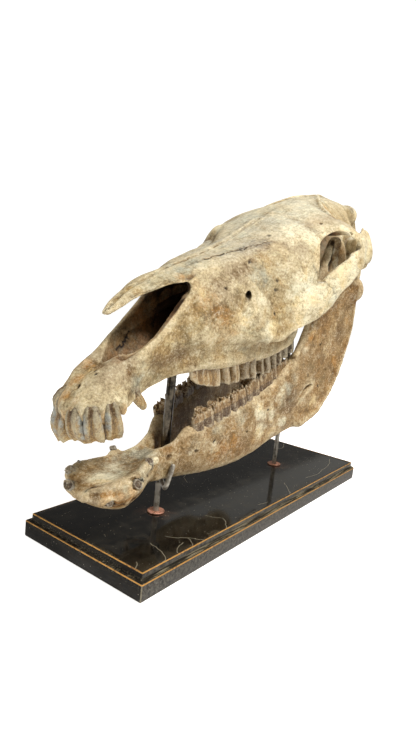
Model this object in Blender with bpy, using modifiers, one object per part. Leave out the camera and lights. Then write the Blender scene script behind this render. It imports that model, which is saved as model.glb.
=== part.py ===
"""Life-size horse skull, cranium and mandible, on its lacquered display plinth.

World frame in metres, +Z up, origin under the middle of the plinth. The nose points to -Y and +X is the
animal's left. Each bone is shaped in a frame of its own, in millimetres: x to the left, s back from the
front of the incisor bone along the tooth row, h up from the gum line.
"""

import math

import bmesh
import bpy
from mathutils import Matrix, Vector

MM = 0.001

# ---------------------------------------------------------------- driving dimensions, mm unless said
PLINTH_WIDTH = 160.0
PLINTH_LENGTH = 470.0
SLAB_HEIGHT = 16.6
PLINTH_HEIGHT = 23.9
TOP_INSET = 4.7
PLINTH_ROUNDING = 1.6

CRANIUM_PLACE = (0.0, -258.0, 150.0)
CRANIUM_TILT = 14.0
MANDIBLE_PLACE = (0.0, -242.0, 80.0)
MANDIBLE_TILT = 19.5

FRONT_ROD = (1.0, -132.0)
POST = (0.0, -126.0)
REAR_ROD = (3.0, 117.0)
ROD_DIAMETER = 6.0
POST_DIAMETER = 9.5
POST_TOP = 187.0
REAR_ROD_TOP = 276.2
FINGER_DIAMETER = 5.0
FINGER_X = 24.5
CRADLE_HEIGHT = 60.5
FINGER_FOOT_Y = -149.0
CRADLE_MIDDLE_Y = -129.0
FINGER_TOP = (-139.5, 85.0)
COLLAR_RADIUS = 7.6
COLLAR_WIRE = 1.7
TOUCH_GAP = 0.3

# ---------------------------------------------------------------- face: lines along the skull, (s, x, h)
RIDGE = ((-6, 0, 2), (3, 0, 13), (14, 0, 20), (28, 0, 26), (47, 0, 31), (95, 0, 48), (128, 0, 70),
         (138, 0, 84), (147, 0, 97), (165, 0, 101), (200, 0, 105), (235, 0, 111), (270, 0, 120),
         (300, 0, 128), (330, 0, 135))
SHOULDER = ((-6, 4, 2), (3, 12, 13), (14, 17, 19), (28, 18, 26), (47, 18.5, 33), (75, 24, 44), (95, 26, 53),
            (123, 26, 69), (135, 26, 77), (142, 28, 85), (165, 33, 92), (200, 40, 96), (240, 49, 101),
            (270, 59, 107), (300, 69, 109), (330, 72, 112))
CHEEK = ((-6, 7, -1), (4, 20, 4), (14, 29, 6), (27, 32.5, 6), (42, 30, 10), (57, 26, 16), (87, 27, 34),
         (115, 31, 38), (150, 45, 35), (185, 60, 24), (203, 69, 18), (228, 73, 14), (249, 77, 22),
         (285, 80, 42), (312, 74, 70), (330, 60, 85))
GUM_OUTER = ((-6, 6, -4), (4, 18, -3), (27, 31, -3), (42, 28, -7), (57, 23, -6), (80, 17, -5), (103, 17, -4),
             (117, 24, -2), (125, 31, -1), (142, 37, -2), (163, 42, -6), (195, 47, -10), (248, 53, -15),
             (280, 53.5, -14), (302, 50, -8), (316, 42, 16), (330, 33, 45))
GUM_INNER = ((-6, 3, -5), (4, 9, -4), (28, 17, -2), (57, 13, 0), (103, 10, 2), (122, 13, 0), (150, 18, -4),
             (200, 25, -8), (280, 30, -11), (303, 27, 0), (330, 20, 45))
PALATE = ((-6, 0, -5), (28, 0, 0), (100, 0, 5), (200, 0, 10), (280, 0, 14), (300, 0, 26), (330, 0, 50))

# nasal bones: the beak that overhangs the nasal opening
NASAL_RIDGE = ((48, 0, 70.5), (58, 0, 76.5), (68, 0, 81), (82, 0, 86.5), (99, 0, 90.5), (131, 0, 97),
               (158, 0, 100.5))
NASAL_EDGE = ((48, 1.5, 69), (58, 6, 73.5), (66, 10, 77.5), (88, 15, 84), (104, 20.5, 87), (118, 24.5, 88),
              (129, 26.5, 86.5), (139, 27.5, 84), (158, 33, 88))
NASAL_THICKNESS = ((48, 2.5), (68, 5), (158, 7))

# nasal cavity: (s, x, h)
CAVITY_ROOF = ((42, 0, 40), (55, 0, 49), (75, 0, 60), (95, 0, 68), (115, 0, 77), (130, 0, 86), (145, 0, 91),
               (170, 0, 93), (205, 0, 92), (235, 0, 76))
CAVITY_SIDE = ((42, 8, 30), (55, 14.5, 33), (75, 20, 39), (95, 22, 45), (115, 22.5, 50), (136, 23, 56),
               (170, 26, 60), (205, 22, 60), (235, 8, 62))
CAVITY_FLOOR = ((42, 0, 25), (55, 0, 17), (115, 0, 14), (160, 0, 20), (205, 0, 32), (235, 0, 48))

# frontal roof over the orbits: middle line, rim line
ROOF_RIDGE = ((280, 0, 122), (312, 0, 131), (345, 0, 138.5), (380, 0, 143), (416, 0, 146))
ROOF_RIM = ((280, 58, 106), (298, 67, 108), (313, 74, 110), (327, 80.5, 112.5), (341, 87.5, 114),
            (354, 92, 112), (364, 84, 113), (371, 70, 117), (378, 52, 126), (386, 38, 134), (416, 20, 142))
ROOF_THICKNESS = 8.0

# braincase and occiput
CROWN = ((300, 0, 127), (345, 0, 137.5), (380, 0, 142.5), (419, 0, 146.5), (440, 0, 145.5), (461, 0, 142.5),
         (500, 0, 134), (522, 0, 128), (529, 0, 123))
TEMPLE = ((300, 34, 118), (380, 32, 135), (420, 26, 139), (461, 22, 136), (500, 21, 127.5), (518, 22, 122),
          (529, 16, 118))
FLANK = ((300, 34, 80), (345, 36, 90), (380, 43, 93), (425, 51, 92), (455, 52, 90), (480, 50, 86),
         (500, 42, 92), (516, 31, 103), (529, 20, 110))
UNDER_EDGE = ((300, 22, 40), (345, 26, 50), (425, 36, 52), (470, 36, 46), (494, 42, 46), (508, 34, 58),
              (518, 24, 84), (529, 12, 104))
UNDER = ((300, 0, 32), (345, 0, 40), (425, 0, 36), (470, 0, 34), (498, 0, 36), (510, 0, 56), (520, 0, 88),
         (529, 0, 102))

# zygomatic arch: centre (x, s, h), half thickness, half height
ARCH = (((70, 248, 36), 8, 15), ((77, 268, 39), 7.5, 18), ((81, 288, 42), 6.5, 19),
        ((84.5, 307, 46), 6, 16.5), ((88, 322, 53.5), 6, 16.5), ((91, 341, 61.5), 6, 15.5),
        ((93.5, 360, 67.5), 5.6, 14.5), ((94, 378, 75.5), 5.2, 14.5), ((91, 395, 86), 4.8, 18),
        ((86, 408, 89), 5.5, 21.5), ((77, 421, 79), 9, 13), ((50, 432, 72), 12, 12))
POSTORBITAL_BAR = (((68, 366, 119), 5, 14), ((82, 372, 112), 3.6, 13), ((91, 376, 103), 3.0, 11),
                   ((95, 379, 93), 3.0, 10), ((95, 378, 82), 3.5, 9))

# skull base: centre (x, s, h), half thickness, half height
BASILAR_BONES = (((0, 318, 46), 11, 8), ((0, 370, 43), 12, 8), ((0, 420, 38), 15, 9), ((0, 452, 36), 18, 9),
                 ((0, 480, 38), 17, 9), ((0, 505, 40), 20, 8))
PARACONDYLAR = (((43, 496, 66), 8, 13), ((44, 496, 34), 5, 11), ((42, 493, 8), 3.5, 8),
                ((40, 491, -8), 2.6, 4))
PTERYGOID = (((29, 262, 34), 5, 38), ((26, 300, 32), 4.5, 34), ((23, 326, 34), 4, 29), ((21, 350, 42), 4, 15),
             ((18, 378, 46), 5, 8))
TEMPORAL_ROOT = (((80, 414, 86), 6, 12), ((64, 432, 82), 8, 10), ((49, 452, 84), 10, 9),
                 ((39, 478, 92), 9, 8), ((28, 500, 104), 8, 7))

ORBIT_RIM = ((307, 61), (308, 84), (313, 103), (326, 111), (341, 112.5), (357, 106), (371, 95), (373, 89),
             (358, 83), (333, 76))
ORBIT_RIM_X = ((305, 70), (375, 95))
ORBIT_DEPTHS = ((40, 1.3), (14, 1.04), (0, 0.98), (-14, 0.97), (-30, 0.82), (-44, 0.5))

INFRAORBITAL_HOLE = (52, 197, 65)

# upper cheek teeth: boundaries along the row, outer face x, biting height
UPPER_TEETH = (125, 157, 184, 210, 234, 261, 302)
UPPER_TOOTH_X = ((125, 31), (156, 39), (209, 49.5), (245, 52.5), (302, 52))
UPPER_BITE = ((125, -10), (137, -19), (159, -26.5), (180, -28.5), (215, -32), (239, -32), (270, -30),
              (302, -23))
UPPER_TOOTH_WIDTH = 22.0
# upper incisors: (gum x, s), (tip x, s), width, outward angle in degrees
UPPER_INCISORS = (((9, 2), (8.8, -4), 17, 12), ((23.5, 9), (23, 3), 16, 40), ((31.5, 25), (31, 16), 15.5, 66))
INCISOR_TIP = -27.5
UPPER_CANINE = ((21, 58, 2), (22, 62, -8), (23.5, 66, -18))

# ---------------------------------------------------------------- mandible
CHIN_WIDTH = ((-2, 7), (4, 20), (14, 30), (28, 34.5), (44, 33), (60, 28), (75, 23), (94, 20.5))
CHIN_RIDGE = ((-2, 5), (4, 17), (14, 27), (28, 31), (44, 28), (60, 22), (75, 16), (94, 12))
CHIN_TOP = ((-2, -6), (4, -1), (20, 0), (40, -5), (60, -10), (80, -12), (94, -12))
CHIN_BOTTOM = ((-2, -12), (6, -24), (16, -34), (28, -41), (42, -40.5), (60, -39.5), (75, -42), (94, -48))

BODY_OUTER = ((76, 20), (95, 21), (110, 24.5), (131, 31), (160, 38.5), (200, 46.5), (240, 53), (272, 57.5),
              (300, 60))
BODY_INNER = ((76, 2), (90, 4), (100, 8.5), (112, 11.5), (131, 15.5), (160, 21),
              (200, 28), (240, 35), (272, 40), (300, 45))
BODY_TOP = ((76, -12), (110, -11), (120, -5.5), (128, -2), (143, -5), (200, -6), (249, -4), (274, 3),
            (292, 11), (300, 18))
BODY_BOTTOM = ((76, -42), (95, -49), (120, -58), (150, -67), (190, -76), (215, -78), (240, -76.5),
               (272, -78.5), (300, -84))

RAMUS_OUTLINE = ((280, -10), (290, 8), (303, 20), (321, 36), (330, 48), (342, 80), (357, 106), (373, 123),
                 (384, 125), (388, 116), (392, 98), (404, 82), (420, 74), (434, 66), (440, 54), (438.5, 38),
                 (435, 10), (427, -14), (408, -34), (380, -55), (356, -73), (333, -82), (309, -85.5),
                 (284, -76))
RAMUS_X = ((278, 53), (300, 55), (350, 60), (400, 64), (445, 66))
RAMUS_HALF_THICKNESS = 5.0
RAMUS_RIM = (((67, 429, 64), 13, 7), ((67.5, 434, 44), 7, 6), ((66, 431, 12), 5.5, 6),
             ((65, 420, -12), 5.5, 6), ((64, 396, -36), 6, 7), ((62, 360, -62), 6, 8), ((60, 326, -76), 6, 7),
             ((57, 292, -76), 6, 6))
JAW_CONDYLE = ((63, 433, 70), (18.5, 10.5, 9))

LOWER_TEETH = (131, 158, 184, 209, 233, 259, 292)
LOWER_TOOTH_X = ((131, 28.5), (158, 35.5), (209, 43.5), (254, 48), (292, 50))
LOWER_BITE = ((131, 14), (148, 18), (171, 19), (205, 18.5), (222, 17.3), (243, 15.4), (274, 14.2),
              (292, 12.5))
LOWER_TOOTH_WIDTH = 13.0

# ---------------------------------------------------------------- finishes: name, colour, roughness, metal
BONE = ("bone", (0.62, 0.50, 0.34), 0.7, 0.0)
LACQUER = ("black_lacquer", (0.012, 0.011, 0.010), 0.25, 0.0)
ROD_STEEL = ("rod_steel", (0.36, 0.35, 0.33), 0.35, 1.0)
DARK_STEEL = ("dark_steel", (0.05, 0.05, 0.05), 0.3, 1.0)
COPPER = ("copper", (0.62, 0.30, 0.20), 0.35, 1.0)

# ---------------------------------------------------------------- fineness
RING_STEPS = 5
CRANIUM_VOXEL = 2.0
MANDIBLE_VOXEL = 2.0
CRANIUM_TRIANGLES = 5350
MANDIBLE_TRIANGLES = 3300


# ---------------------------------------------------------------- curves
def line(keys):
    """Smooth function through keys (position, value...) that never overshoots them."""
    places = [key[0] for key in keys]

    def slope(column, i):
        rises = [(keys[j + 1][column] - keys[j][column]) / (places[j + 1] - places[j])
                 for j in (i - 1, i) if 0 <= j < len(keys) - 1]
        if len(rises) == 1:
            return rises[0]
        if rises[0] * rises[1] <= 0:
            return 0.0
        return 2 * rises[0] * rises[1] / (rises[0] + rises[1])

    def value(at):
        at = min(max(at, places[0]), places[-1])
        i = max(j for j in range(len(places) - 1) if places[j] <= at)
        span = places[i + 1] - places[i]
        t = (at - places[i]) / span
        result = []
        for column in range(1, len(keys[0])):
            a, b = keys[i][column], keys[i + 1][column]
            da, db = slope(column, i) * span, slope(column, i + 1) * span
            result.append(a * (1 + 2 * t) * (1 - t) ** 2 + da * t * (1 - t) ** 2
                          + b * t * t * (3 - 2 * t) - db * t * t * (1 - t))
        return result[0] if len(result) == 1 else result

    return value


def closed_curve(points, steps):
    """Points on a smooth closed curve through the given points, centripetal spacing."""
    points = [Vector(p) for p in points]
    count = len(points)
    ring = []
    for i in range(count):
        a, b, c, d = (points[(i + k) % count] for k in (-1, 0, 1, 2))
        ab, bc, cd = (max((q - p).length, 1e-6) ** 0.5 for p, q in ((a, b), (b, c), (c, d)))
        m1 = (c - b) + bc * ((b - a) / ab - (c - a) / (ab + bc))
        m2 = (c - b) + bc * ((d - c) / cd - (d - b) / (bc + cd))
        for k in range(steps):
            t = k / steps
            ring.append((2 * t ** 3 - 3 * t * t + 1) * b + (t ** 3 - 2 * t * t + t) * m1
                        + (3 * t * t - 2 * t ** 3) * c + (t ** 3 - t * t) * m2)
    return ring


def stations(start, end, step):
    """Even stations from start to end, about step apart."""
    count = max(2, round((end - start) / step))
    return [start + (end - start) * i / count for i in range(count + 1)]


# ---------------------------------------------------------------- solids in a bmesh
def add_loft(clay, rings):
    """Closed skin over rings of (x, s, h) points, millimetres in, metres out."""
    shape = bmesh.new()
    loops = [[shape.verts.new(Vector(p) * MM) for p in ring] for ring in rings]
    for a, b in zip(loops, loops[1:]):
        for i in range(len(a)):
            j = (i + 1) % len(a)
            shape.faces.new((a[i], a[j], b[j], b[i]))
    shape.faces.new(reversed(loops[0]))
    shape.faces.new(loops[-1])
    bmesh.ops.recalc_face_normals(shape, faces=shape.faces)
    pour(shape, clay)


def pour(shape, clay):
    """Move a shape into the clay and free it."""
    mesh = bpy.data.meshes.new("pour")
    shape.to_mesh(mesh)
    shape.free()
    clay.from_mesh(mesh)
    bpy.data.meshes.remove(mesh)


def add_both(clay, make):
    """Make a shape on the left and its mirror image on the right."""
    half = bmesh.new()
    make(half)
    mirrored = half.copy()
    bmesh.ops.scale(mirrored, vec=(-1, 1, 1), verts=mirrored.verts)
    bmesh.ops.reverse_faces(mirrored, faces=mirrored.faces)
    pour(half, clay)
    pour(mirrored, clay)


def add_ball(clay, centre, radii, turn=(0, 0, 0)):
    """Ellipsoid with the given half axes, turned by angles in degrees."""
    shape = bmesh.new()
    place = Matrix.Translation(Vector(centre) * MM)
    for axis, angle in zip("XYZ", turn):
        place @= Matrix.Rotation(math.radians(angle), 4, axis)
    place @= Matrix.Diagonal((*[r * MM for r in radii], 1))
    bmesh.ops.create_uvsphere(shape, u_segments=20, v_segments=12, radius=1, matrix=place)
    pour(shape, clay)


def add_strut(clay, path, sides=14, upright=(0, 0, 1)):
    """Bar of oval section through ((x, s, h), half thickness, half height) steps."""
    centres = [Vector(step[0]) for step in path]
    rings = []
    for i, (centre, step) in enumerate(zip(centres, path)):
        ahead = (centres[min(i + 1, len(path) - 1)] - centres[max(i - 1, 0)]).normalized()
        across = ahead.cross(Vector(upright)).normalized()
        high = across.cross(ahead)
        rings.append([centre + across * step[1] * math.cos(a) + high * step[2] * math.sin(a)
                      for a in (2 * math.pi * k / sides for k in range(sides))])
    add_loft(clay, rings)


def smooth_path(path, steps):
    """The steps of a strut, with more of them along a smooth curve."""
    keys = [(i, *centre, *sizes) for i, (centre, *sizes) in enumerate(path)]
    at = line(keys)
    count = (len(path) - 1) * steps
    fine = [at(i / steps) for i in range(count + 1)]
    return [((x, s, h), a, b) for x, s, h, a, b in fine]


def add_block(clay, corners, edge):
    """Eight-cornered block with rounded edges: four (x, s) corners at the root and at the tip."""
    shape = bmesh.new()
    low, high = ([shape.verts.new(Vector(p) * MM) for p in level] for level in corners)
    for i in range(4):
        j = (i + 1) % 4
        shape.faces.new((low[i], low[j], high[j], high[i]))
    shape.faces.new(reversed(low))
    shape.faces.new(high)
    bmesh.ops.recalc_face_normals(shape, faces=shape.faces)
    bmesh.ops.bevel(shape, geom=shape.edges[:], offset=edge * MM, segments=2, profile=0.6, affect="EDGES")
    pour(shape, clay)


def half_ring(points, steps=RING_STEPS):
    """Closed ring from the points of its left half, first and last on the middle plane."""
    right = [(-x, s, h) for x, s, h in points[-2:0:-1]]
    return closed_curve(points + right, steps)


def lines_loft(clay, lines, start, end, step):
    """Loft whose sections pass through the given lines, listed from the top middle to the bottom middle."""
    curves = [line(keys) for keys in lines]
    rings = []
    for s in stations(start, end, step):
        points = [(x, s, h) for x, h in (curve(s) for curve in curves)]
        rings.append(half_ring(points))
    add_loft(clay, rings)


# ---------------------------------------------------------------- cranium
def add_face(clay):
    """Incisor bones, maxillae and the front of the frontal bones, as one closed form."""
    lines_loft(clay, (RIDGE, SHOULDER, CHEEK, GUM_OUTER, GUM_INNER, PALATE), -6, 330, 6)


def add_nasal_beak(clay):
    """Paired nasal bones, thin and arched, running out to one blunt tip."""
    ridge, edge, thickness = line(NASAL_RIDGE), line(NASAL_EDGE), line(NASAL_THICKNESS)
    rings = []
    for s in stations(48, 158, 6):
        top = ridge(s)[1]
        x, h = edge(s)
        t = thickness(s)
        drop = top - h
        over = [(x * k, s, top - drop * k ** 2.2) for k in (0, 0.45, 0.8, 1)]
        under = [(x * k, s, top - t - (drop - 0.4 * t) * k ** 2.2) for k in (0.8, 0.45, 0)]
        rings.append(half_ring(over + under, 3))
    add_loft(clay, rings)


def add_frontal_roof(clay):
    """Shelf of the frontal bones over the orbits, narrowing into the temples behind them."""
    ridge, rim = line(ROOF_RIDGE), line(ROOF_RIM)
    rings = []
    for s in stations(280, 416, 5):
        top = ridge(s)[1]
        x, h = rim(s)
        low = h - ROOF_THICKNESS
        half = [(0, s, top), (x * 0.55, s, h + (top - h) * 0.72), (x * 0.9, s, h + (top - h) * 0.2),
                (x, s, h - 2), (x * 0.86, s, low), (x * 0.5, s, low), (0, s, top - 24)]
        rings.append(half_ring(half, 3))
    add_loft(clay, rings)


def add_braincase(clay):
    """Braincase from between the orbits to the nuchal crest."""
    lines_loft(clay, (CROWN, TEMPLE, FLANK, UNDER_EDGE, UNDER), 300, 529, 5)


def add_arch(clay):
    """Zygomatic arch with the joint surface for the jaw, and the bar behind the orbit."""
    add_strut(clay, smooth_path(ARCH, 3), sides=16)
    add_strut(clay, smooth_path(POSTORBITAL_BAR, 3), sides=12, upright=(-0.36, 0.93, 0))
    add_ball(clay, (66, 424, 63), (21, 15, 9), (0, 6, 0))
    add_strut(clay, (((58, 440, 66), 9, 4), ((56, 443, 50), 7, 3.5), ((55, 444, 40), 5, 3)),
              upright=(0, 1, 0))


def add_skull_base(clay):
    """Basilar bones, occipital condyles, paracondylar processes, ear region and pterygoid plates."""
    add_strut(clay, smooth_path(BASILAR_BONES, 3))

    def side(half):
        add_ball(half, (19, 512, 44), (11, 14, 19), (24, 0, -14))
        add_ball(half, (31, 500, 56), (13, 10, 20))
        add_ball(half, (36, 462, 50), (12, 16, 13))
        add_strut(half, (((45, 458, 66), 7, 7), ((58, 452, 78), 5.5, 5.5)), upright=(0, 1, 0))
        for path, upright in ((PARACONDYLAR, (0, 1, 0)), (PTERYGOID, (0, 0, 1)), (TEMPORAL_ROOT, (0, 0, 1))):
            add_strut(half, smooth_path(path, 3), upright=upright)

    add_both(clay, side)


def add_upper_teeth(clay):
    """Two rows of cheek teeth, an arc of incisors and the canines."""
    outer, bite = line(UPPER_TOOTH_X), line(UPPER_BITE)

    def side(half):
        for front, back in zip(UPPER_TEETH, UPPER_TEETH[1:]):
            add_cheek_tooth(half, front, back, outer, bite, UPPER_TOOTH_WIDTH, 8)
        for (gum_x, gum_s), (tip_x, tip_s), width, angle in UPPER_INCISORS:
            outward = (math.sin(math.radians(angle)), -math.cos(math.radians(angle)), 0)
            root = ((gum_x * 0.94, gum_s + 6, 12), width * 0.42, 6)
            neck = ((gum_x, gum_s, 0), width * 0.5, 6.5)
            edge = ((tip_x, tip_s, INCISOR_TIP), width * 0.5, 4.5)
            add_strut(half, (root, neck, edge), sides=12, upright=outward)
        root, neck, tip = UPPER_CANINE
        add_strut(half, ((root, 5, 5), (neck, 4.2, 5), (tip, 1.6, 2)), upright=(0, 1, 0))

    add_both(clay, side)


def add_cheek_tooth(clay, front, back, outer, bite, width, root):
    """One cheek tooth of a row, its edges rounded so that a groove marks the joint with the next."""
    levels = []
    for height in (lambda s: root, bite):
        levels.append([(outer(s) - inset, s, height(s)) for s, inset in
                       ((front, 0), (back, 0), (back, width), (front, width))])
    add_block(clay, levels, 4.2)


def orbit_cutter(clay):
    """Space of the orbit, a cone that narrows inwards and back from the rim."""
    rim_x = line(ORBIT_RIM_X)
    inwards = Vector((0.91, -0.42, 0.06)).normalized()
    rim = closed_curve([(rim_x(s), s, h) for s, h in ORBIT_RIM], 4)
    centre = sum(rim, Vector()) / len(rim)
    rings = [[centre + (p - centre) * scale + inwards * depth for p in rim] for depth, scale in ORBIT_DEPTHS]
    add_loft(clay, rings)


def cavity_cutter(clay):
    """Nasal cavity, open between the nasal beak and the rims of the incisor bones."""
    roof, side, floor = line(CAVITY_ROOF), line(CAVITY_SIDE), line(CAVITY_FLOOR)
    rings = []
    for s in stations(42, 235, 6):
        top, (x, h), low = roof(s)[1], side(s), floor(s)[1]
        half = [(0, s, top), (x * 0.75, s, h + (top - h) * 0.72), (x, s, h),
                (x * 0.7, s, low + (h - low) * 0.25), (0, s, low)]
        rings.append(half_ring(half, 4))
    add_loft(clay, rings)


def choana_cutter(clay):
    """Passage behind the palate, between the pterygoid plates."""
    rings = []
    for s, width, roof in ((236, 12, 20), (246, 17, 34), (280, 19, 40), (320, 17, 34), (360, 17, 29)):
        rings.append(half_ring([(0, s, roof), (width, s, roof - 8), (width, s, -30), (0, s, -34)], 4))
    add_loft(clay, rings)


def make_cutters(frame, collection):
    """All spaces of the cranium, each one closed cutter."""
    def foramen(clay):
        x, s, h = INFRAORBITAL_HOLE
        add_strut(clay, (((x + 14, s - 26, h - 3), 5.5, 6.5), ((x - 14, s + 22, h + 2), 4.5, 5.5)))

    def foramen_magnum(clay):
        add_strut(clay, (((0, 484, 58), 11, 11), ((0, 512, 60), 15, 14), ((0, 545, 64), 17, 16)))

    shapes = {"nasal_cavity": cavity_cutter, "choana": choana_cutter, "foramen_magnum": foramen_magnum}
    for side, sign in (("left", 1), ("right", -1)):
        shapes["orbit_" + side] = mirrored(orbit_cutter, sign)
        shapes["infraorbital_" + side] = mirrored(foramen, sign)
    for name, make in shapes.items():
        clay = bmesh.new()
        make(clay)
        cutter = new_object("cut_" + name, clay, collection)
        cutter.parent = frame
        cutter.hide_render = True
        cutter.display_type = "WIRE"


def mirrored(make, sign):
    """The same shape on the left (sign 1) or on the right (sign -1)."""
    def run(clay):
        make(clay)
        if sign < 0:
            bmesh.ops.scale(clay, vec=(-1, 1, 1), verts=clay.verts)
            bmesh.ops.reverse_faces(clay, faces=clay.faces)
    return run


# ---------------------------------------------------------------- mandible
def add_chin(clay):
    """Fused front of the jaw, a shallow spoon that carries the incisors."""
    width, ridge, top, bottom = (line(keys) for keys in (CHIN_WIDTH, CHIN_RIDGE, CHIN_TOP, CHIN_BOTTOM))
    rings = []
    for s in stations(-2, 94, 5):
        w, r, t, b = width(s), ridge(s), top(s), bottom(s)
        dish = min(7.0, 0.25 * r)
        half = [(0, s, t - dish), (r * 0.55, s, t - dish * 0.7), (r, s, t), (w, s, t - 9 - (w - r) * 0.5),
                (w * 0.84, s, b + (t - b) * 0.3), (w * 0.45, s, b + 3), (0, s, b)]
        rings.append(half_ring(half, 3))
    add_loft(clay, rings)


def add_jaw_body(clay):
    """One horizontal branch of the jaw, from the chin to the ramus."""
    outer, inner, top, bottom = (line(k) for k in (BODY_OUTER, BODY_INNER, BODY_TOP, BODY_BOTTOM))
    rings = []
    for s in stations(76, 300, 6):
        o, i, t, b = outer(s), inner(s), top(s), bottom(s)
        mid = (t + b) / 2
        ring = [(o - 4, s, t - 3), (o, s, mid + 8), (o - 1, s, mid - 12), (o - 5, s, b + 3),
                ((o + i) / 2 - 1, s, b), (i + 2, s, b + 6), (i, s, mid), (i + 1, s, t - 6),
                ((o + i) / 2, s, t)]
        rings.append(closed_curve(ring, 3))
    add_loft(clay, rings)


def add_ramus(clay):
    """Upright plate of the jaw with its coronoid process, and the condyle."""
    plate_x = line(RAMUS_X)
    rim = closed_curve([(0, s, h) for s, h in RAMUS_OUTLINE], 3)
    centre = sum(rim, Vector()) / len(rim)
    rings = []
    for offset, shrink in ((-1.0, 4.0), (-0.72, 0.8), (0.0, 0.0), (0.72, 0.8), (1.0, 4.0)):
        ring = []
        for p in rim:
            inward = (centre - p).normalized() * shrink
            ring.append((plate_x(p.y) + offset * RAMUS_HALF_THICKNESS, p.y + inward.y, p.z + inward.z))
        rings.append(ring)
    add_loft(clay, rings)
    add_ball(clay, *JAW_CONDYLE, turn=(0, 6, 0))
    add_strut(clay, smooth_path(RAMUS_RIM, 3), upright=(1, 0, 0))


def add_lower_teeth(clay):
    """Lower cheek teeth, worn canines and the stumps of the incisors."""
    outer, bite = line(LOWER_TOOTH_X), line(LOWER_BITE)

    def side(half):
        for front, back in zip(LOWER_TEETH, LOWER_TEETH[1:]):
            add_cheek_tooth(half, front, back, outer, bite, LOWER_TOOTH_WIDTH, -12)
        add_ball(half, (19, 69, -14), (5, 6, 6))
        for x, s in ((8, 2), (21, 9), (29, 24)):
            add_ball(half, (x, s, -6), (6.5, 6.5, 6))

    add_both(clay, side)


# ---------------------------------------------------------------- stand
def add_rod(clay, low, high, diameter):
    """Round upright rod from a low point to a height."""
    x, y, z0 = low
    z1 = high
    rod = bmesh.new()
    place = Matrix.Translation(Vector((x, y, (z0 + z1) / 2)) * MM)
    radius = diameter / 2 * MM
    bmesh.ops.create_cone(rod, cap_ends=True, segments=20, radius1=radius, radius2=radius,
                          depth=(z1 - z0) * MM, matrix=place)
    pour(rod, clay)


def make_plinth(collection):
    """Lacquered block: a full lower slab and a top set in behind a small step."""
    clay = bmesh.new()
    bmesh.ops.create_cube(clay, size=1, matrix=Matrix.Diagonal((PLINTH_WIDTH * MM, PLINTH_LENGTH * MM,
                                                                SLAB_HEIGHT * MM, 1)))
    bmesh.ops.translate(clay, vec=(0, 0, SLAB_HEIGHT / 2 * MM), verts=clay.verts)
    top = [f for f in clay.faces if f.normal.z > 0.5]
    bmesh.ops.inset_region(clay, faces=top, thickness=TOP_INSET * MM, use_even_offset=True)
    raised = bmesh.ops.extrude_face_region(clay, geom=top)["geom"]
    bmesh.ops.translate(clay, vec=(0, 0, (PLINTH_HEIGHT - SLAB_HEIGHT) * MM),
                        verts=[v for v in raised if isinstance(v, bmesh.types.BMVert)])
    bmesh.ops.delete(clay, geom=top, context="FACES")
    plinth = new_object("plinth", clay, collection, LACQUER)
    edge = plinth.modifiers.new("Worn edges", "BEVEL")
    edge.width = PLINTH_ROUNDING * MM
    edge.segments = 2
    edge.limit_method = "ANGLE"
    return plinth


def tube_mesh(points, diameter, resolution=3):
    """Round tube along a smooth curve through the points, as a closed mesh."""
    data = bpy.data.curves.new("tube", "CURVE")
    data.dimensions = "3D"
    data.bevel_depth = diameter / 2 * MM
    data.bevel_resolution = resolution
    data.use_fill_caps = True
    spline = data.splines.new("POLY")
    spline.points.add(len(points) - 1)
    for point, place in zip(spline.points, points):
        point.co = (*[c * MM for c in place], 1)
    holder = bpy.data.objects.new("tube", data)
    bpy.context.scene.collection.objects.link(holder)
    bpy.context.view_layer.update()
    mesh = bpy.data.meshes.new_from_object(holder.evaluated_get(bpy.context.evaluated_depsgraph_get()))
    bpy.data.objects.remove(holder)
    bpy.data.curves.remove(data)
    shape = bmesh.new()
    shape.from_mesh(mesh)
    bpy.data.meshes.remove(mesh)
    bmesh.ops.remove_doubles(shape, verts=shape.verts, dist=0.01 * MM)
    bmesh.ops.recalc_face_normals(shape, faces=shape.faces)
    return shape


def rounded_route(corners, radius, steps=4):
    """Polyline with its inner corners replaced by short arcs."""
    corners = [Vector(c) for c in corners]
    route = [corners[0]]
    for before, corner, after in zip(corners, corners[1:], corners[2:]):
        start = corner + (before - corner).normalized() * radius
        end = corner + (after - corner).normalized() * radius
        for k in range(steps + 1):
            t = k / steps
            route.append(start * (1 - t) ** 2 + corner * 2 * t * (1 - t) + end * t * t)
    route.append(corners[-1])
    return route


def make_cradle(collection):
    """Bent steel bar that passes under the jaw and turns up outside both of its branches."""
    top_y, top_z = FINGER_TOP
    middle = (0, CRADLE_MIDDLE_Y, CRADLE_HEIGHT)
    finger = [(FINGER_X, top_y, top_z), (FINGER_X, FINGER_FOOT_Y, CRADLE_HEIGHT)]
    corners = finger + [middle] + [(-x, y, z) for x, y, z in reversed(finger)]
    clay = tube_mesh(rounded_route(corners, 6.0, 3), FINGER_DIAMETER, 2)
    return new_object("jaw_cradle", clay, collection, ROD_STEEL)


def make_rods(collection):
    """Front rod below the cradle, dark post above it, rear rod up to the base of the skull."""
    foot = PLINTH_HEIGHT + TOUCH_GAP
    clearance = FINGER_DIAMETER / 2 + TOUCH_GAP
    parts = (("front_rod", (*FRONT_ROD, foot), CRADLE_HEIGHT - clearance, ROD_DIAMETER, ROD_STEEL),
             ("front_post", (*POST, CRADLE_HEIGHT + clearance), POST_TOP, POST_DIAMETER, DARK_STEEL),
             ("rear_rod", (*REAR_ROD, foot), REAR_ROD_TOP, ROD_DIAMETER, ROD_STEEL))
    for name, low, high, diameter, finish in parts:
        clay = bmesh.new()
        add_rod(clay, low, high, diameter)
        new_object(name, clay, collection, finish)


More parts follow.
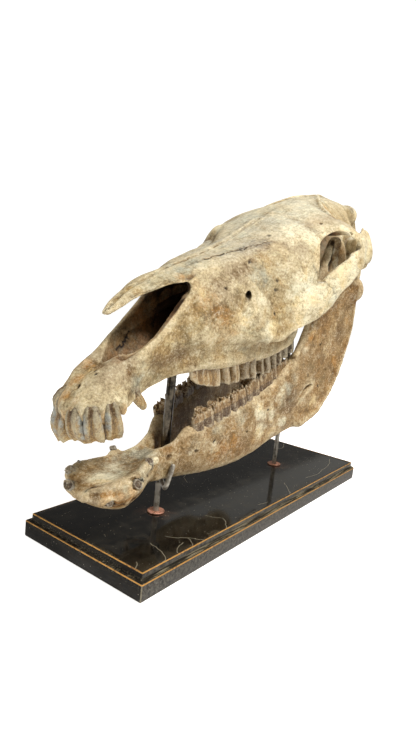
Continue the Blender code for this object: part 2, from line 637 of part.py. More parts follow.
def make_collars(collection):
    """Copper rings round the feet of both rods."""
    height = PLINTH_HEIGHT + COLLAR_WIRE + TOUCH_GAP
    for name, (x, y) in (("front_collar", FRONT_ROD), ("rear_collar", REAR_ROD)):
        bpy.ops.mesh.primitive_torus_add(major_segments=20, minor_segments=6,
                                         major_radius=COLLAR_RADIUS * MM,
                                         minor_radius=COLLAR_WIRE * MM, location=(x * MM, y * MM, height * MM))
        collar = bpy.context.object
        collar.name = name
        collar.data.materials.append(finish_material(*COPPER))
        for holder in collar.users_collection:
            holder.objects.unlink(collar)
        collection.objects.link(collar)


# ---------------------------------------------------------------- objects
def finish_material(name, colour, roughness, metallic):
    """Material with the finish of one kind of piece, made once."""
    material = bpy.data.materials.get(name)
    if material is None:
        material = bpy.data.materials.new(name)
        material.use_nodes = True
        shader = material.node_tree.nodes["Principled BSDF"]
        shader.inputs["Base Color"].default_value = (*colour, 1)
        shader.inputs["Roughness"].default_value = roughness
        shader.inputs["Metallic"].default_value = metallic
    return material


def new_object(name, clay, collection, finish=None):
    """Object from a bmesh, shaded smooth, in the collection."""
    mesh = bpy.data.meshes.new(name)
    clay.to_mesh(mesh)
    clay.free()
    mesh.shade_smooth()
    obj = bpy.data.objects.new(name, mesh)
    collection.objects.link(obj)
    if finish:
        mesh.materials.append(finish_material(*finish))
    return obj


def fuse(bone, voxel, name="Fuse"):
    """Melt the overlapping forms of a bone into one skin."""
    remesh = bone.modifiers.new(name, "REMESH")
    remesh.mode = "VOXEL"
    remesh.voxel_size = voxel * MM
    return remesh


def soften(bone, times):
    """Even out the skin of a bone."""
    smooth = bone.modifiers.new("Soften", "SMOOTH")
    smooth.factor = 0.5
    smooth.iterations = times


def thin_out(bone, triangles):
    """Reduce a bone to about the given number of triangles."""
    bpy.context.view_layer.update()
    evaluated = bone.evaluated_get(bpy.context.evaluated_depsgraph_get())
    evaluated.data.calc_loop_triangles()
    now = len(evaluated.data.loop_triangles)
    decimate = bone.modifiers.new("Facets", "DECIMATE")
    decimate.ratio = triangles / now
    decimate.use_collapse_triangulate = True


def frame_empty(name, place, tilt, collection):
    """Empty that carries one bone at its place and tilt."""
    empty = bpy.data.objects.new(name, None)
    empty.location = Vector(place) * MM
    empty.rotation_euler = (math.radians(tilt), 0, 0)
    collection.objects.link(empty)
    return empty


def make_cranium(collection, cutters):
    """Cranium with its upper teeth."""
    frame = frame_empty("cranium_frame", CRANIUM_PLACE, CRANIUM_TILT, collection)
    clay = bmesh.new()
    add_face(clay)
    add_nasal_beak(clay)
    add_frontal_roof(clay)
    add_braincase(clay)
    add_both(clay, add_arch)
    add_skull_base(clay)
    add_upper_teeth(clay)
    cranium = new_object("cranium", clay, collection, BONE)
    cranium.parent = frame
    make_cutters(frame, cutters)
    fuse(cranium, CRANIUM_VOXEL)
    carve = cranium.modifiers.new("Carve", "BOOLEAN")
    carve.operation = "DIFFERENCE"
    carve.operand_type = "COLLECTION"
    carve.collection = cutters
    fuse(cranium, CRANIUM_VOXEL, "Fuse again")
    soften(cranium, 3)
    thin_out(cranium, CRANIUM_TRIANGLES)


def make_mandible(collection):
    """Mandible with its lower teeth."""
    frame = frame_empty("mandible_frame", MANDIBLE_PLACE, MANDIBLE_TILT, collection)
    clay = bmesh.new()
    add_chin(clay)
    add_both(clay, add_jaw_body)
    add_both(clay, add_ramus)
    add_lower_teeth(clay)
    mandible = new_object("mandible", clay, collection, BONE)
    mandible.parent = frame
    fuse(mandible, MANDIBLE_VOXEL)
    soften(mandible, 3)
    thin_out(mandible, MANDIBLE_TRIANGLES)


def main():
    for obj in list(bpy.data.objects):
        bpy.data.objects.remove(obj, do_unlink=True)
    skull = bpy.data.collections.new("horse_skull")
    cutters = bpy.data.collections.new("cutters")
    for collection in (skull, cutters):
        bpy.context.scene.collection.children.link(collection)
    make_plinth(skull)
    make_rods(skull)
    make_cradle(skull)
    make_collars(skull)
    make_cranium(skull, cutters)
    make_mandible(skull)


main()
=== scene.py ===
"""A horse skull, its jaw a little open, on a black lacquered plinth with steel rods and copper collars.

Bones and teeth are shaped in frames of their own, in millimetres: x to the animal's left, s back along the
tooth row from the front of the incisor bone, h up from the gum line. The stand is in the world's frame.
"""

import itertools
import math

import bmesh
import bpy
import numpy as np
from mathutils import Matrix, Vector


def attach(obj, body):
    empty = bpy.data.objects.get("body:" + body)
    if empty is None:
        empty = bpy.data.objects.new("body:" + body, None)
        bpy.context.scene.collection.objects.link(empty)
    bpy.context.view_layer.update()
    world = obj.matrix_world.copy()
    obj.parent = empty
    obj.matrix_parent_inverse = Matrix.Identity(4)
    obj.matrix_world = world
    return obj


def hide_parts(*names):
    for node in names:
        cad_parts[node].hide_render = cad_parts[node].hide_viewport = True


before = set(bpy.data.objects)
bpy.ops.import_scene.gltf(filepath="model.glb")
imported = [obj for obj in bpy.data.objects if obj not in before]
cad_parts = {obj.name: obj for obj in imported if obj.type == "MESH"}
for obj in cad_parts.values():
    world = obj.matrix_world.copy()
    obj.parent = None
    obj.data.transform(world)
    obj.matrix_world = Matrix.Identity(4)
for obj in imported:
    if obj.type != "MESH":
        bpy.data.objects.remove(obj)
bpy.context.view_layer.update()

MM = 0.001

# ---- stand, mm
PLINTH_WIDTH = 160
PLINTH_LENGTH = 470
SLAB_HEIGHT = 16.6
PLINTH_HEIGHT = 23.9
TOP_INSET = 4.7
FRONT_ROD = (1, -132)
POST = (0, -126)
REAR_ROD = (3, 117)
ROD_DIAMETER = 6
POST_DIAMETER = 9.5
POST_TOP = 187
REAR_ROD_TOP = 276.2
FINGER_DIAMETER = 5
FINGER_X = 24.5
CRADLE_HEIGHT = 60.5
FINGER_FOOT_Y = -149
CRADLE_MIDDLE_Y = -129
FINGER_TOP = (-139.5, 85)
COLLAR_REACH = 9.2
TOUCH_GAP = 0.3

CRANIUM_PLACE = (0, -258, 150)
CRANIUM_TILT = 14
MANDIBLE_PLACE = (0, -242, 80)
MANDIBLE_TILT = 19.5

# ---- face: lines along the skull, (s, x, h)
RIDGE = (
    (-6, 0, 2), (3, 0, 13), (14, 0, 20), (28, 0, 26), (47, 0, 31), (95, 0, 48), (128, 0, 70), (138, 0, 84),
    (147, 0, 97), (165, 0, 101), (200, 0, 105), (235, 0, 111), (270, 0, 120), (300, 0, 128), (330, 0, 135))
SHOULDER = (
    (-6, 4, 2), (3, 12, 13), (14, 17, 19), (28, 18, 26), (47, 18.5, 33), (75, 24, 44), (95, 26, 53),
    (123, 26, 69), (135, 26, 77), (142, 28, 85), (165, 33, 92), (200, 40, 96), (240, 49, 101),
    (270, 59, 107), (300, 69, 109), (330, 72, 112))
CHEEK = (
    (-6, 7, -1), (4, 20, 4), (14, 29, 6), (27, 32.5, 6), (42, 30, 10), (57, 26, 16), (87, 27, 34),
    (115, 31, 38), (150, 45, 35), (185, 60, 24), (203, 69, 18), (228, 73, 14), (249, 77, 22), (285, 80, 42),
    (312, 74, 70), (330, 60, 85))
UNDER_CREST = (
    (-6, 7, -2.5), (27, 32, 2), (57, 24.5, 5), (87, 23, 12), (115, 28, 18), (150, 42, 16), (185, 53, 12),
    (203, 57, 11), (228, 57.5, 8.5), (249, 58.5, 14), (285, 60, 25), (312, 54, 46), (330, 45, 63))
GUM_OUTER = (
    (-6, 6, -4), (4, 18, -3), (27, 31, -3), (42, 28, -7), (57, 23, -6), (80, 17, -5), (103, 17, -4),
    (117, 24, -2), (125, 31, -1), (142, 37, -2), (163, 42, -6), (195, 47, -10), (248, 53, -15),
    (280, 53.5, -14), (302, 50, -8), (316, 42, 16), (330, 33, 45))
GUM_INNER = (
    (-6, 3, -5), (4, 9, -4), (28, 17, -2), (57, 13, 0), (103, 10, 2), (122, 13, 0), (150, 18, -4),
    (200, 25, -8), (280, 30, -11), (303, 27, 0), (330, 20, 45))
PALATE = ((-6, 0, -5), (28, 0, 0), (100, 0, 5), (200, 0, 10), (280, 0, 14), (300, 0, 26), (330, 0, 50))

NASAL_RIDGE = (
    (48, 0, 70.5), (58, 0, 76.5), (68, 0, 81), (82, 0, 86.5), (99, 0, 90.5), (131, 0, 97), (158, 0, 100.5))
NASAL_EDGE = (
    (48, 1.5, 69), (58, 6, 73.5), (66, 10, 77.5), (88, 15, 84), (104, 20.5, 87), (118, 24.5, 88),
    (129, 26.5, 86.5), (139, 27.5, 84), (158, 33, 88))
NASAL_THICKNESS = ((48, 2.5), (68, 5), (158, 7))

CAVITY_ROOF = (
    (42, 0, 40), (55, 0, 49), (75, 0, 60), (95, 0, 68), (115, 0, 77), (130, 0, 86), (145, 0, 91),
    (170, 0, 93), (205, 0, 92), (235, 0, 76))
CAVITY_SIDE = (
    (42, 1.6, 29), (47, 4.5, 30.5), (55, 9.5, 34), (65, 15.5, 37), (75, 19.5, 39), (95, 22, 45),
    (115, 22.5, 50), (136, 23, 56), (170, 26, 60), (205, 22, 60), (235, 8, 62))
CAVITY_FLOOR = ((42, 0, 25), (55, 0, 17), (115, 0, 14), (160, 0, 20), (205, 0, 32), (235, 0, 48))
NOSE_RIM = (
    ((14.5, 48, 34), 5, 5), ((17, 57, 37.5), 6, 6), ((20, 70.5, 43.3), 6.4, 6.4),
    ((23, 83.4, 49.3), 6.1, 6.1), ((23.5, 96.4, 57.3), 6, 6), ((23.5, 110.4, 65.3), 6, 6),
    ((23.5, 121, 72.5), 6.1, 6.1), ((23, 129.5, 78.5), 6.6, 6.6), ((20, 135, 81), 6.2, 6.2),
    ((13, 139, 81.5), 5.2, 5.2))
NOSE_NOTCH = ((-28, 125, 80), (-12, 141, 80))

# frontal roof over the orbits, braincase and occiput
ROOF_RIDGE = ((280, 0, 122), (312, 0, 131), (345, 0, 138.5), (380, 0, 143), (416, 0, 146))
ROOF_RIM = (
    (280, 58, 106), (298, 67, 108), (313, 74, 110), (327, 80.5, 112.5), (341, 87.5, 114), (354, 92, 112),
    (364, 84, 113), (371, 70, 117), (378, 52, 126), (386, 38, 134), (416, 20, 142))
ROOF_THICKNESS = 8
CROWN = (
    (300, 0, 127), (345, 0, 137.5), (380, 0, 142.5), (419, 0, 146.5), (440, 0, 145.5), (461, 0, 142.5),
    (500, 0, 134), (522, 0, 128), (529, 0, 123))
TEMPLE = (
    (300, 34, 118), (380, 32, 135), (420, 26, 139), (461, 22, 136), (500, 21, 127.5), (518, 22, 122),
    (529, 16, 118))
FLANK = (
    (300, 34, 80), (345, 36, 90), (380, 43, 93), (425, 51, 92), (455, 52, 90), (480, 50, 86), (500, 42, 92),
    (516, 31, 103), (529, 20, 110))
UNDER_EDGE = (
    (300, 22, 40), (345, 26, 50), (425, 36, 52), (470, 36, 46), (494, 42, 46), (508, 34, 58), (518, 24, 84),
    (529, 12, 104))
UNDER = (
    (300, 0, 32), (345, 0, 40), (425, 0, 36), (470, 0, 34), (498, 0, 36), (510, 0, 56), (520, 0, 88),
    (529, 0, 102))

# bars of bone: centre (x, s, h), half thickness, half height
ARCH = (
    ((70, 248, 36), 8, 15), ((77, 268, 39), 7.5, 18), ((81, 288, 42), 6.5, 19), ((84.5, 307, 46), 6, 16.5),
    ((88, 322, 53.5), 6, 16.5), ((91, 341, 61.5), 6, 15.5), ((93.5, 360, 67.5), 5.6, 14.5),
    ((94, 378, 77), 5.2, 16), ((92, 391, 90), 4.8, 20), ((91, 405, 84), 5.5, 19), ((88, 420, 77), 6.5, 13),
    ((72, 433, 72), 10, 12), ((50, 438, 72), 12, 12))
CREST = (
    ((66, 194, 25), 3, 4), ((69.5, 207, 20), 4, 6), ((71.5, 228, 15.5), 3.6, 6), ((75.5, 249, 21), 3.6, 6),
    ((78.5, 268, 24), 3.4, 7), ((82, 288, 27), 3.2, 8), ((86, 310, 34), 3, 8), ((89.5, 334, 47), 3, 7),
    ((92.5, 363, 57), 3, 6.5), ((93.5, 391, 71), 3.2, 7))
POSTORBITAL_BAR = (
    ((68, 366, 119), 5, 14), ((82, 372, 112), 3.6, 13), ((91, 376, 103), 3, 11), ((95, 379, 93), 3, 10),
    ((95, 378, 82), 3.5, 9))
BASILAR_BONES = (
    ((0, 318, 46), 11, 8), ((0, 370, 43), 12, 8), ((0, 420, 38), 15, 9), ((0, 452, 36), 18, 9),
    ((0, 480, 38), 17, 9), ((0, 505, 40), 20, 8))
PARACONDYLAR = (
    ((43, 496, 66), 8, 13), ((44, 496, 34), 5, 11), ((42, 493, 8), 3.5, 8), ((40, 491, -8), 2.6, 4))
PTERYGOID = (
    ((29, 262, 34), 5, 38), ((26, 300, 32), 4.5, 34), ((23, 326, 34), 4, 29), ((21, 350, 42), 4, 15),
    ((18, 378, 46), 5, 8))
TEMPORAL_ROOT = (
    ((80, 414, 86), 6, 12), ((64, 432, 82), 8, 10), ((49, 452, 84), 10, 9), ((39, 478, 92), 9, 8),
    ((28, 500, 104), 8, 7))
TEMPORAL_LINE = (
    (72, 369, 115), (58, 375, 124.5), (42, 384, 134), (28, 402, 141), (14, 424, 146), (3, 448, 145.5),
    (0, 480, 139.5), (0, 512, 132))
NUCHAL_CREST = ((0, 528, 126), (14, 525, 124), (25, 519, 119), (34, 506, 108), (40, 494, 94))

ORBIT_RIM = (
    (307, 61), (308, 84), (313, 103), (326, 111), (341, 112.5), (357, 106), (371, 95), (373, 89), (358, 83),
    (333, 76))
ORBIT_RIM_X = ((305, 70), (375, 95))
ORBIT_MOUTH = (83, 340, 96)
ORBIT_INWARDS = (0.91, -0.42, 0.06)
ORBIT_DEPTHS = ((40, 1.3), (14, 1.04), (0, 0.98), (-14, 0.97), (-30, 0.82), (-44, 0.5))
INFRAORBITAL_HOLE = (52, 197, 65)

# upper teeth: boundaries along the row, outer face x, biting height
# incisors: gum x and s, width, outward angle
UPPER_TEETH = (125, 166, 194, 221, 246, 272, 302)
UPPER_TOOTH_X = ((125, 31), (156, 39), (209, 49.5), (245, 52.5), (302, 52))
UPPER_BITE = (
    (125, -10), (137, -19), (159, -26.5), (180, -28.5), (215, -32), (239, -32), (270, -30), (302, -23))
UPPER_TOOTH_WIDTH = 22
UPPER_INCISORS = ((8.8, 1, 17, 10), (22.6, 7.5, 16, 38), (30.5, 21, 15.5, 62))
INCISOR_TIP = -27.5

# ---- mandible
CHIN_WIDTH = ((-2, 7), (4, 20), (14, 30), (28, 34.5), (44, 33), (60, 28), (75, 23), (94, 20.5))
CHIN_RIDGE = ((-2, 5), (4, 17), (14, 27), (28, 31), (44, 28), (60, 22), (75, 16), (94, 12))
CHIN_TOP = ((-2, -6), (4, -1), (20, 0), (40, -5), (60, -10), (80, -12), (94, -12))
CHIN_BOTTOM = ((-2, -12), (6, -24), (16, -34), (28, -41), (42, -40.5), (60, -39.5), (75, -42), (94, -48))

BODY_OUTER = (
    (76, 20), (95, 21), (110, 24.5), (131, 31), (160, 38.5), (200, 46.5), (240, 53), (272, 57.5), (300, 60))
BODY_INNER = (
    (76, 2), (90, 4), (100, 8.5), (112, 11.5), (131, 15.5), (160, 21), (200, 28), (240, 35), (272, 40),
    (300, 45))
BODY_TOP = (
    (76, -12), (110, -11), (120, -5.5), (128, -2), (143, -5), (200, -6), (249, -4), (274, 3), (292, 11),
    (300, 18))
BODY_BOTTOM = (
    (76, -42), (95, -49), (120, -58), (150, -67), (190, -76), (215, -78), (240, -76.5), (272, -78.5),
    (300, -84))

RAMUS_OUTLINE = (
    (280, -10), (290, 8), (303, 20), (321, 36), (330, 48), (342, 80), (356, 104), (370, 122), (381, 133),
    (389.5, 137), (398, 134), (408, 126), (413, 112), (415, 94), (421, 80), (434, 67), (440, 54),
    (438.5, 38), (435, 10), (427, -14), (408, -34), (380, -55), (356, -73), (333, -82), (309, -85.5),
    (284, -76))
RAMUS_X = ((278, 53), (300, 55), (350, 60), (400, 64), (445, 66))
RAMUS_HALF_THICKNESS = 5
RAMUS_RIM = (
    ((67, 429, 64), 13, 7), ((67.5, 434, 44), 7, 6), ((66, 431, 12), 5.5, 6), ((65, 420, -12), 5.5, 6),
    ((64, 396, -36), 6, 7), ((62, 360, -62), 6, 8), ((60, 326, -76), 6, 7), ((57, 292, -76), 6, 6))
RAMUS_FRONT = (
    ((56, 296, 14), 5, 4), ((57, 312, 28), 5, 3.6), ((58, 327, 46), 4.5, 3.4), ((60, 341, 78), 3.2, 3),
    ((60.5, 356, 103), 2.6, 2.6), ((61, 370, 121), 2.4, 2.4), ((62, 389, 135), 2.4, 2.4))
RAMUS_BACK = (
    ((62, 389, 135), 2.4, 2.4), ((62.5, 402, 130), 2.6, 2.6), ((63, 412, 118), 2.8, 3),
    ((63.5, 416, 102), 3, 3), ((64, 423, 84), 5, 5), ((64, 432, 72), 8, 6))
JAW_CONDYLE = ((63, 432, 70), (16, 11, 9))

LOWER_TEETH = (131, 158, 184, 209, 233, 259, 292)
LOWER_TOOTH_X = ((131, 28.5), (158, 35.5), (209, 43.5), (254, 48), (292, 50))
LOWER_BITE = ((131, 6), (148, 9), (171, 10), (205, 11), (222, 12.5), (243, 12.5), (274, 12.5), (292, 12.5))
LOWER_TOOTH_WIDTH = 13

# outlines of a cheek tooth: how far along the tooth, how far across from its outer face
UPPER_OUTLINE = (
    (0.02, 0.34), (0.05, 0.08), (0.13, -0.05), (0.25, -0.03), (0.34, 0.05), (0.4, 0.2), (0.45, 0.22),
    (0.5, 0.04), (0.58, -0.07), (0.7, -0.05), (0.8, 0), (0.87, 0.1), (0.93, 0.3), (0.98, 0.4), (0.99, 0.6),
    (0.92, 0.86), (0.72, 0.99), (0.52, 0.95), (0.35, 1), (0.12, 0.88), (0.01, 0.55))
UPPER_FRONT_OUTLINE = (
    (0, 0.12), (0.04, 0), (0.14, -0.03), (0.28, 0), (0.4, -0.02), (0.52, -0.04), (0.6, 0), (0.66, 0.03),
    (0.74, -0.01), (0.86, -0.05), (0.96, 0.12), (0.99, 0.5), (0.94, 0.84), (0.8, 0.82), (0.6, 0.62),
    (0.4, 0.42), (0.2, 0.24), (0.05, 0.17))
LOWER_OUTLINE = (
    (0, 0.3), (0.03, 0.06), (0.15, -0.03), (0.34, -0.02), (0.46, 0.07), (0.54, 0.08), (0.64, -0.01),
    (0.78, -0.03), (0.92, 0), (0.99, 0.12), (1, 0.6), (0.93, 0.93), (0.72, 1), (0.5, 0.92), (0.28, 1),
    (0.08, 0.93), (0, 0.6))
LOWER_FRONT_OUTLINE = (
    (0, 0.16), (0.03, 0), (0.2, -0.04), (0.4, 0), (0.52, 0.07), (0.62, 0), (0.8, -0.03), (0.95, 0.02),
    (0.99, 0.3), (0.98, 0.8), (0.8, 1), (0.6, 0.95), (0.36, 0.72), (0.14, 0.42), (0.03, 0.28))

# ---- fineness
RING_STEPS = 9
FORM_VOXEL = 1.6
BONE_VOXEL = 1.25
TOOTH_VOXEL = 0.75
BONE_TRIANGLES = 150000
TOOTH_TRIANGLES = 46000
CRUMB = 200               # vertices in a shell too small to be a piece of bone
SLIVER = 0.01             # length of an edge too short to keep


# ---- curves
def line(keys):
    """Smooth function through keys (position, value...) that never overshoots them."""
    places = [key[0] for key in keys]

    def slope(column, i):
        rises = [(keys[j + 1][column] - keys[j][column]) / (places[j + 1] - places[j])
                 for j in (i - 1, i) if 0 <= j < len(keys) - 1]
        if len(rises) == 1:
            return rises[0]
        if rises[0] * rises[1] <= 0:
            return 0
        return 2 * rises[0] * rises[1] / (rises[0] + rises[1])

    def value(at):
        at = min(max(at, places[0]), places[-1])
        i = max(j for j in range(len(places) - 1) if places[j] <= at)
        span = places[i + 1] - places[i]
        t = (at - places[i]) / span
        result = []
        for column in range(1, len(keys[0])):
            a, b = keys[i][column], keys[i + 1][column]
            da, db = slope(column, i) * span, slope(column, i + 1) * span
            result.append(a * (1 + 2 * t) * (1 - t) ** 2 + da * t * (1 - t) ** 2
                          + b * t * t * (3 - 2 * t) - db * t * t * (1 - t))
        return result[0] if len(result) == 1 else result

    return value


def closed_curve(points, steps):
    """Points on a smooth closed curve through the given points, centripetal spacing."""
    points = [Vector(p) for p in points]
    count = len(points)
    ring = []
    for i in range(count):
        a, b, c, d = (points[(i + k) % count] for k in (-1, 0, 1, 2))
        ab, bc, cd = (max((q - p).length, 1e-6) ** 0.5 for p, q in ((a, b), (b, c), (c, d)))
        m1 = (c - b) + bc * ((b - a) / ab - (c - a) / (ab + bc))
        m2 = (c - b) + bc * ((d - c) / cd - (d - b) / (bc + cd))
        for k in range(steps):
            t = k / steps
            ring.append((2 * t ** 3 - 3 * t * t + 1) * b + (t ** 3 - 2 * t * t + t) * m1
                        + (3 * t * t - 2 * t ** 3) * c + (t ** 3 - t * t) * m2)
    return ring


def stations(start, end, step):
    """Even stations from start to end, about step apart."""
    count = max(2, round((end - start) / step))
    return [start + (end - start) * i / count for i in range(count + 1)]


# ---- solids in a bmesh
def add_loft(clay, rings):
    """Closed skin over rings of (x, s, h) points, millimetres in, metres out."""
    shape = bmesh.new()
    loops = [[shape.verts.new(Vector(p) * MM) for p in ring] for ring in rings]
    for a, b in zip(loops, loops[1:]):
        for i in range(len(a)):
            j = (i + 1) % len(a)
            shape.faces.new((a[i], a[j], b[j], b[i]))
    shape.faces.new(reversed(loops[0]))
    shape.faces.new(loops[-1])
    bmesh.ops.recalc_face_normals(shape, faces=shape.faces)
    pour(shape, clay)


def placed(thing):
    """The object, linked to the scene."""
    bpy.context.scene.collection.objects.link(thing)
    return thing


def pour(shape, clay):
    """Move a shape into the clay and free it."""
    mesh = bpy.data.meshes.new("pour")
    shape.to_mesh(mesh)
    shape.free()
    clay.from_mesh(mesh)
    bpy.data.meshes.remove(mesh)


def mirrored(make, sign):
    """The same shape on the left (sign 1) or on the right (sign -1)."""
    def run(clay):
        make(clay)
        if sign < 0:
            bmesh.ops.scale(clay, vec=(-1, 1, 1), verts=clay.verts)
            bmesh.ops.reverse_faces(clay, faces=clay.faces)
    return run


def both(make):
    """The shape on the left and its mirror image on the right."""
    def run(clay):
        for sign in (1, -1):
            pour(clay_of(mirrored(make, sign)), clay)
    return run


def clay_of(*makes):
    """One clay with all the given forms."""
    clay = bmesh.new()
    for make in makes:
        make(clay)
    return clay


def add_ball(clay, centre, radii, turn=(0, 0, 0)):
    """Ellipsoid with the given half axes, turned by angles in degrees."""
    shape = bmesh.new()
    place = Matrix.Translation(Vector(centre) * MM)
    for axis, angle in zip("XYZ", turn):
        place @= Matrix.Rotation(math.radians(angle), 4, axis)
    place @= Matrix.Diagonal((*[r * MM for r in radii], 1))
    bmesh.ops.create_uvsphere(shape, u_segments=28, v_segments=18, radius=1, matrix=place)
    pour(shape, clay)


def circle(count):
    """Cosine and sine of even steps round a circle."""
    return [(math.cos(a), math.sin(a)) for a in (2 * math.pi * k / count for k in range(count))]


def add_strut(clay, path, sides=20, upright=(0, 0, 1)):
    """Bar of oval section through ((x, s, h), half thickness, half height) steps."""
    centres = [Vector(step[0]) for step in path]
    rings = []
    for i, (centre, step) in enumerate(zip(centres, path)):
        ahead = (centres[min(i + 1, len(path) - 1)] - centres[max(i - 1, 0)]).normalized()
        across = ahead.cross(Vector(upright)).normalized()
        high = across.cross(ahead)
        rings.append([centre + across * step[1] * cos + high * step[2] * sin for cos, sin in circle(sides)])
    add_loft(clay, rings)


def smooth_path(path, steps):
    """The steps of a strut, with more of them along a smooth curve."""
    at = line([(i, *centre, *sizes) for i, (centre, *sizes) in enumerate(path)])
    count = (len(path) - 1) * steps
    fine = [at(i / steps) for i in range(count + 1)]
    return [((x, s, h), a, b) for x, s, h, a, b in fine]


def add_bar(clay, path, steps, sides=20, upright=(0, 0, 1)):
    """Bar along a smooth curve through the steps of a path."""
    add_strut(clay, smooth_path(path, steps), sides, upright)


def ridge_path(points, half_width, half_height):
    """Strut steps of one size along points, tapered at both ends."""
    last = len(points) - 1
    return [(p, half_width * (0.5 if i in (0, last) else 1), half_height * (0.5 if i in (0, last) else 1))
            for i, p in enumerate(points)]


def half_ring(points, steps=RING_STEPS):
    """Closed ring from the points of its left half, first and last on the middle plane."""
    right = [(-x, s, h) for x, s, h in points[-2:0:-1]]
    return closed_curve(points + right, steps)


def lines_loft(clay, lines, start, end, step):
    """Loft whose sections pass through the given lines, listed from the top middle to the bottom middle."""
    curves = [line(keys) for keys in lines]
    add_loft(clay, [half_ring([(x, s, h) for x, h in (curve(s) for curve in curves)])
                    for s in stations(start, end, step)])


# ---- cranium
def add_face(clay):
    """Incisor bones, maxillae and the front of the frontal bones, as one closed form."""
    lines_loft(clay, (RIDGE, SHOULDER, CHEEK, UNDER_CREST, GUM_OUTER, GUM_INNER, PALATE), -6, 330, 3)


def add_nasal_beak(clay):
    """Paired nasal bones, thin and arched, running out to one blunt tip."""
    ridge, edge, thickness = line(NASAL_RIDGE), line(NASAL_EDGE), line(NASAL_THICKNESS)
    rings = []
    for s in stations(52, 158, 3):
        top = ridge(s)[1]
        x, h = edge(s)
        t = thickness(s)
        drop = top - h
        over = [(x * k, s, top - drop * k ** 2.2) for k in (0, 0.45, 0.8, 1)]
        under = [(x * k, s, top - t - (drop - 0.4 * t) * k ** 2.2) for k in (0.8, 0.45, 0)]
        rings.append(half_ring(over + under, 5))
    add_loft(clay, rings)
    add_ball(clay, (0, 54, 73.2), (3.4, 4.6, 1.9), (28, 0, 0))


def add_frontal_roof(clay):
    """Shelf of the frontal bones over the orbits, narrowing into the temples behind them."""
    ridge, rim = line(ROOF_RIDGE), line(ROOF_RIM)
    rings = []
    for s in stations(280, 416, 2.5):
        top = ridge(s)[1]
        x, h = rim(s)
        low = h - ROOF_THICKNESS
        half = [(0, s, top), (x * 0.55, s, h + (top - h) * 0.72), (x * 0.9, s, h + (top - h) * 0.2),
                (x, s, h - 2), (x * 0.86, s, low), (x * 0.5, s, low), (0, s, top - 24)]
        rings.append(half_ring(half, 5))
    add_loft(clay, rings)


def add_braincase(clay):
    """Braincase from between the orbits to the nuchal crest."""
    lines_loft(clay, (CROWN, TEMPLE, FLANK, UNDER_EDGE, UNDER), 300, 529, 3)


def add_arch(clay):
    """Zygomatic arch with the joint surface for the jaw, and the bar behind the orbit."""
    add_bar(clay, ARCH, 5, sides=24)
    add_bar(clay, POSTORBITAL_BAR, 5, sides=18, upright=(-0.36, 0.93, 0))
    add_strut(clay, (((92.5, 397, 88), 3.6, 9), ((92.3, 391, 104), 2.6, 5), ((92, 388, 112), 1.3, 2.2)))
    add_ball(clay, (66, 424, 63), (21, 15, 9), (0, 6, 0))
    add_strut(clay, (((58, 440, 66), 9, 4), ((56, 443, 50), 7, 3.5), ((55, 444, 40), 5, 3)),
              upright=(0, 1, 0))


def add_crests(clay):
    """Facial crest with its knobbly lower edge, rim of the orbit, temporal line and nuchal crest."""
    add_bar(clay, CREST, 5, sides=18)
    dice = np.random.default_rng(11)
    edge = line([(step[0][1], step[0][0], step[0][2], step[2]) for step in CREST])
    for s in stations(203, 262, 7.5):
        x, h, reach = edge(s)
        size = 2.4 + 1.6 * dice.random()
        add_ball(clay, (x - 1, s + dice.uniform(-2.5, 2.5), h - reach + 2.2), (size, size * 1.7, size))
    rim_x = line(ORBIT_RIM_X)
    rim = closed_curve([(rim_x(s), s, h) for s, h in ORBIT_RIM], 4)
    centre = sum(rim, Vector()) / len(rim)
    outer = [centre + (p - centre) * 1.035 + Vector((0.6, 0, 0)) for p in rim]
    for a, b in zip(outer, outer[1:] + outer[:1]):
        if a.z > 84:
            add_strut(clay, ((a, 1.7, 1.7), ((a + b) / 2, 1.7, 1.7), (b, 1.7, 1.7)), sides=8)
    add_bar(clay, ridge_path(TEMPORAL_LINE, 2.6, 2.6), 4, sides=12)
    add_bar(clay, ridge_path(NUCHAL_CREST, 4.2, 4.2), 4, sides=12, upright=(0, 1, 0.2))
    add_bar(clay, (((44, 188, 70), 2, 1.6), ((50, 197, 74), 2.6, 2), ((56.5, 204, 70), 2.8, 2.2),
                   ((60.5, 207, 60), 2.4, 2), ((62, 205, 50), 1.4, 1.4)), 3, sides=12,
            upright=(0, 1, 0))


def add_skull_base(clay):
    """Basilar bones, occipital condyles, paracondylar processes, ear region and pterygoid plates."""
    add_bar(clay, BASILAR_BONES, 4)

    def side(half):
        add_ball(half, (19, 512, 44), (11, 14, 19), (24, 0, -14))
        add_ball(half, (31, 500, 56), (13, 10, 20))
        add_ball(half, (36, 462, 50), (12, 16, 13))
        add_strut(half, (((45, 458, 66), 7, 7), ((58, 452, 78), 5.5, 5.5)), upright=(0, 1, 0))
        for path, upright in ((PARACONDYLAR, (0, 1, 0)), (PTERYGOID, (0, 0, 1)), (TEMPORAL_ROOT, (0, 0, 1))):
            add_bar(half, path, 5, upright=upright)

    both(side)(clay)


def incisor_steps(x, s, angle):
    """Outward direction and the places (outward, h) of an incisor from its root to its tip."""
    outward = Vector((math.sin(math.radians(angle)), -math.cos(math.radians(angle)), 0))
    places = ((-13, 14), (-7, 10.5), (-0.8, 3.5), (2, -4), (2.6, -13), (1.4, -21), (-1.8, INCISOR_TIP))
    return outward, [Vector((x, s, 0)) + outward * out + Vector((0, 0, h)) for out, h in places]


